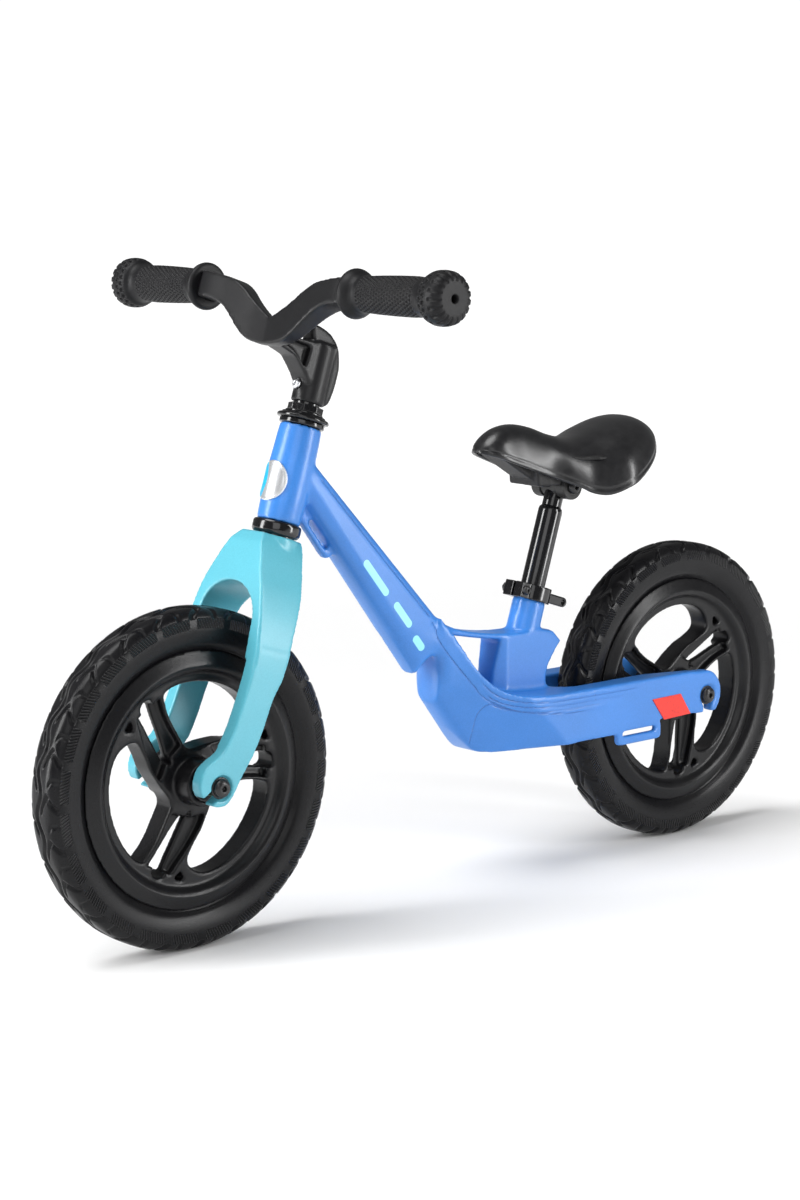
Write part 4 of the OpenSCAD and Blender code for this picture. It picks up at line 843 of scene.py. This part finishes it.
def make_saddle_pad():
    """Saddle pad as cross sections along its length. A section is a rounded arch from seam to
    seam: at share s of the half width its height is seam + (top - seam)(1 - s^2.3)^(1/1.9). It
    turns in at the lip, then runs back inside as a hollow under the pad."""
    u = np.linspace(0, 1, 150)
    x = -103 - 102.6 * np.cos(math.pi * u[::-1])
    top, seam, half = (read_curve(c, x)[:, None] for c in (pad_top, pad_seam, pad_plan))
    ceiling = read_curve(pad_ceiling, x)[:, None]
    lean = np.linspace(-math.pi / 2, math.pi / 2, 91)[None, :]
    across = np.sign(lean) * abs(np.sin(lean)) ** (2 / 2.3)
    rise = np.maximum(np.cos(lean), 0) ** (2 / 1.9)
    y = half * across
    z = seam + (top - seam) * rise
    lip_groove = 0.7 * np.exp(-(((z - seam) - 4.2) / 0.8) ** 2) * ramp(0.6, 0.9, abs(across))
    y = y - np.sign(y) * lip_groove
    inner_half = np.maximum(half - 5, half * 0.45)
    inner_lean = np.linspace(math.pi / 2, -math.pi / 2, 61)[None, :]
    inner_y = inner_half * np.sin(inner_lean)
    arch = (top - 6 - seam) * np.maximum(np.cos(inner_lean), 0) ** 0.7
    inner_z = np.minimum(seam + 0.4 + np.maximum(arch, 0), np.maximum(ceiling + 0.3, seam + 0.4))
    under = np.concatenate([half - 1.2, half - 3.4], 1)
    lip_y = np.concatenate([under, -under[:, ::-1]], 1)
    lip_z = np.concatenate([seam - 0.7, seam - 0.5, seam - 0.5, seam - 0.7], 1)
    y = np.concatenate([y, lip_y[:, :2], inner_y, lip_y[:, 2:]], 1)
    z = np.concatenate([z, lip_z[:, :2], inner_z, lip_z[:, 2:]], 1)
    x = x[:, None] + 0 * y
    points = np.stack([x, y, z], -1) * MM + saddle_nose
    ends = points[[0, -1]].mean(1, keepdims=True) + 0 * points[[0, -1]]
    points = np.concatenate([ends[:1], points, ends[1:]], 0)
    piece = grid_piece("saddle_cushion", points, wrap_columns=True, weld=2e-6)
    dress(piece, "saddle_vinyl", "saddle", "saddle_pad")
    return piece


make_saddle_pad()


# ---- turned and cast small parts -----------------------------------------------
def rounded(outline, size):
    """The outline with every corner b between a and c replaced by the curve
    (1 - t)^2 p + 2 t (1 - t) b + t^2 q, where p and q lie size before and after the corner."""
    corners = np.asarray(outline, float)
    t = np.linspace(0, 1, 5)[:, None]
    made = []
    for a, b, c in zip(np.roll(corners, 1, 0), corners, np.roll(corners, -1, 0)):
        before, after = np.linalg.norm(a - b), np.linalg.norm(c - b)
        p = b + (a - b) / before * min(size, 0.45 * before)
        q = b + (c - b) / after * min(size, 0.45 * after)
        made.append((1 - t) ** 2 * p + 2 * t * (1 - t) * b + t**2 * q)
    return np.vstack(made)


def turned(name, node, slot, body, outline, size, origin, axis, columns=96):
    """Ring made by turning a rounded outline of radius and height round an axis."""
    profile = rounded(outline, size)
    axis = np.array(axis, float)
    first = np.cross(axis, [0, 1, 0])
    angle = 2 * math.pi * np.arange(columns) / columns
    radius, height = profile[:, :1, None] * MM, profile[:, 1:, None] * MM
    ring = np.cos(angle)[:, None] * first + np.sin(angle)[:, None] * np.array([0, 1, 0])
    points = origin + radius * ring[None] + height * axis
    piece = grid_piece(name, points, wrap_rows=True, wrap_columns=True)
    return dress(piece, slot, body, node)


seat_lean = math.radians(18)
seat_up = np.array([-math.sin(seat_lean), 0, math.cos(seat_lean)])
clamp_height = 366 * MM
seat_origin = saddle_clamp - clamp_height * seat_up
turned("lower_headset_ring", "lower_cup", "gloss_black", "frame",
       [[12.3, 210.3], [18.8, 210.3], [20.5, 213], [20.5, 219.4], [19.4, 221.5],
        [12.3, 221.5]], 1.6, steer_origin, steer_up)
turned("upper_headset_ring", "upper_cup", "gloss_black", "frame",
       [[16.5, 303.5], [19, 303.5], [19, 307.5], [16.5, 307.5]], 0.9, steer_origin, steer_up)
turned("cone_cover", "upper_cone", "gloss_black", "steering",
       [[11.2, 307.8], [21.2, 307.8], [22, 308.8], [22, 310.2], [21, 311.4], [18.8, 311.8],
        [18.2, 313.4], [11.2, 313.4]], 0.8, steer_origin, steer_up)
turned("keyed_washer", "lock_washer", "gloss_black", "steering",
       [[11.2, 313.4], [16, 313.4], [16, 314.9], [11.2, 314.9]], 0.5, steer_origin, steer_up)
turned("round_seat_post", "seat_post", "gloss_black", "seat_post",
       [[11.1, 214], [11.1, 341.5], [10.6, 344], [8.9, 345.5], [8.9, 362], [4, 362],
        [4, 214]], 0.8, seat_origin, seat_up, 128)

for made, node, body, slot, cell, even, off in (
        ("pinch_collar", "seat_clamp", "frame", "gloss_black", 0.6, 7, 2),
        ("pinch_bolt", "seat_clamp_bolt", "frame", "bolt_black", 0.4, 6, 1),
        ("pinch_nut", "seat_clamp_nut", "frame", "bolt_black", 0.4, 6, 1),
        ("eight_sided_nut", "lock_nut", "steering", "gloss_black", 0.5, 7, 2),
        ("stem_socket_bolt", "stem_bolt", "steering", "steel", 0.5, 6, 1),
        ("clamp_jaws", "saddle_clamp_cheeks", "saddle", "clamp_black", 0.6, 6, 2),
        ("clamp_drum", "saddle_clamp_core", "seat_post", "clamp_black", 0.6, 6, 2),
        ("clamp_cross_bolt", "saddle_clamp_bolt", "saddle", "bolt_black", 0.5, 6, 1),
        ("clamp_nut", "saddle_clamp_nut", "saddle", "bolt_black", 0.5, 6, 1),
        ("moulded_saddle_base", "saddle_base", "saddle", "saddle_plastic", 1.2, 6, 2),
        *((end + "_hub_" + made, end + node, holder, "bolt_black", cell, 6, 1)
          for made, node, front_holder, rear_holder, cell in (
              ("covers", "_dust_caps", "front_wheel", "rear_wheel", 0.55),
              ("washers", "_axle_washers", "steering", "frame", 0.45),
              ("bolts", "_axle_bolts", "steering", "frame", 0.45))
          for end, holder in (("front", front_holder), ("rear", rear_holder)))):
    dress(soft_casting(made, node, cell * MM, even, off), slot, body, node)


# ---- badge -------------------------------------------------------------------
def make_badge():
    """Domed disc wrapped on the head tube: rings of radius r turned by an angle, bent to the
    tube's curve, with a raised rim that falls away at the edge."""
    disc_radius, tube_reach, bend_radius, height = 17, 19.05, 19.5, 253
    share = np.array([0, 0.12, 0.3, 0.5, 0.7, 0.82, 0.88, 0.91, 0.94, 0.97, 1.0, 1.0])
    rise = np.array([1.25, 1.25, 1.24, 1.2, 1.14, 1.08, 1.0, 1.15, 1.2, 1.05, 0.6, -0.5])
    turn = np.arange(96) / 96 * 2 * math.pi
    across = disc_radius * share[:, None] * np.sin(turn)
    up = disc_radius * share[:, None] * np.cos(turn)
    reach = tube_reach + rise[:, None] + 0 * across
    bend = across / bend_radius
    local = np.stack([reach * np.cos(bend), reach * np.sin(bend), height + up], -1) * MM
    points = (steer_origin + local[..., :1] * steer_ahead + local[..., 2:] * steer_up
              + local[..., 1:2] * np.array([0, 1, 0]))
    piece = grid_piece("foil_badge", points, wrap_columns=True)
    mesh = piece.data
    corner = np.empty(len(mesh.loops), np.int32)
    mesh.loops.foreach_get("vertex_index", corner)
    disc = (np.stack([across, up], -1) / disc_radius).reshape(-1, 2)[corner]
    mesh.uv_layers.new(name="disc").data.foreach_set("uv", disc.astype(np.float32).ravel())
    return dress(piece, "badge", "frame", "head_badge")


make_badge()

# ---- finishes of the CAD nodes that stay ---------------------------------------
node_finish = {
    "reflective_decals": "reflector", "headset_balls": "steel", "rear_axle": "steel",
    "rear_axle_spacers": "zinc", "steerer_tube": "gloss_black", "crown_race": "gloss_black",
    "front_axle": "steel", "front_axle_spacers": "zinc", "front_bearings": "steel",
    "rear_bearings": "steel", "saddle_rails": "steel",
}
for name, slot in node_finish.items():
    for holder in nodes[name].material_slots:
        holder.material = finish_of_slot[slot]


# ---- floor, light and camera -------------------------------------------------
def make_floor():
    """Pale floor: a wide flat grid, a little below the tyres' contact. Far away it glows a
    little, so that it melts into the backdrop."""
    reach = np.linspace(-40, 40, 9)
    x, y = np.meshgrid(reach, reach)
    floor = grid_piece("studio_floor", np.stack([x, y, 0 * x - 0.0002], -1))
    finish, tree, shader = new_finish("pale_floor", roughness=0.75)
    where = place(tree, "ShaderNodeTexCoord").outputs["Object"]
    noise = place(tree, "ShaderNodeTexNoise", {"Vector": where, "Scale": 3.0, "Detail": 2.0})
    tone = blend_colour(tree, noise.outputs[0], (0.88, 0.88, 0.88), (0.90, 0.90, 0.90))
    tree.links.new(tone, shader.inputs["Base Color"])
    shader.inputs["Specular IOR Level"].default_value = 0.1
    away = place(tree, "ShaderNodeVectorMath", {0: where}, operation="LENGTH").outputs["Value"]
    tree.links.new(spread(tree, away, 0.5, 3.5, 0.0, 0.35), shader.inputs["Emission Strength"])
    shader.inputs["Emission Color"].default_value = (1, 1, 1, 1)
    floor.data.materials.append(finish)


def lamp(name, kind, place_at, look_at, power, size, tint=(1, 1, 1), tall=None):
    """Lamp at a point, facing another."""
    data = bpy.data.lights.new(name, kind)
    data.energy = power
    data.color = tint
    if kind == "AREA":
        data.shape = "RECTANGLE"
        data.size = size
        data.size_y = tall or size
    else:
        data.angle = size
    holder = bpy.data.objects.new(name, data)
    bpy.context.scene.collection.objects.link(holder)
    holder.location = place_at
    aim = np.array(look_at, float) - np.array(place_at, float)
    holder.rotation_euler = Vector(aim).to_track_quat("-Z", "Y").to_euler()


def make_camera():
    """Camera at the height and bearing from which the bike is seen three quarters on."""
    data = bpy.data.cameras.new("camera")
    data.sensor_width = 36
    data.lens = 77.91
    camera = bpy.data.objects.new("camera", data)
    bpy.context.scene.collection.objects.link(camera)
    camera.location = (1.5168, 1.6621, 0.6217)
    bearing, dip = math.radians(-131.33), math.radians(-9.218)
    aim = (math.cos(dip) * math.cos(bearing), math.cos(dip) * math.sin(bearing), math.sin(dip))
    camera.rotation_euler = Vector(aim).to_track_quat("-Z", "Y").to_euler()
    data.clip_start, data.clip_end = 0.05, 60
    bpy.context.scene.camera = camera


def make_world():
    """Soft grey light from all round; the backdrop itself is white."""
    world = bpy.data.worlds.new("studio")
    bpy.context.scene.world = world
    world.use_nodes = True
    tree = world.node_tree
    tree.nodes.clear()
    fill = place(tree, "ShaderNodeBackground", {"Color": (1, 1, 1, 1), "Strength": 0.17})
    white = place(tree, "ShaderNodeBackground", {"Color": (1, 1, 1, 1), "Strength": 1.05})
    ray = place(tree, "ShaderNodeLightPath")
    mixed = place(tree, "ShaderNodeMixShader", {0: ray.outputs["Is Camera Ray"]})
    tree.links.new(fill.outputs[0], mixed.inputs[1])
    tree.links.new(white.outputs[0], mixed.inputs[2])
    out = place(tree, "ShaderNodeOutputWorld")
    tree.links.new(mixed.outputs[0], out.inputs["Surface"])


make_floor()
make_camera()
make_world()
seen_right = np.array([-0.751, 0.660, 0])
seen_ahead = np.array([-0.660, -0.751, 0])
centre = np.array([0.0, 0.0, 0.25])
lamp("top_sun", "SUN", centre - 0.9 * seen_right - 0.5 * seen_ahead + np.array([0, 0, 3.0]), centre,
     2.3, math.radians(40))
lamp("left_strip", "AREA", centre - 1.9 * seen_right - 0.7 * seen_ahead + np.array([0, 0, 0.5]),
     centre, 40, 0.5, tall=1.8)
lamp("right_strip", "AREA", centre + 1.9 * seen_right - 0.6 * seen_ahead + np.array([0, 0, 0.4]),
     centre, 30, 0.4, tall=1.8)
lamp("front_fill", "AREA", centre - 2.6 * seen_ahead + np.array([0, 0, 1.3]), centre, 14, 1.6)
bpy.context.scene.view_settings.view_transform = "Standard"
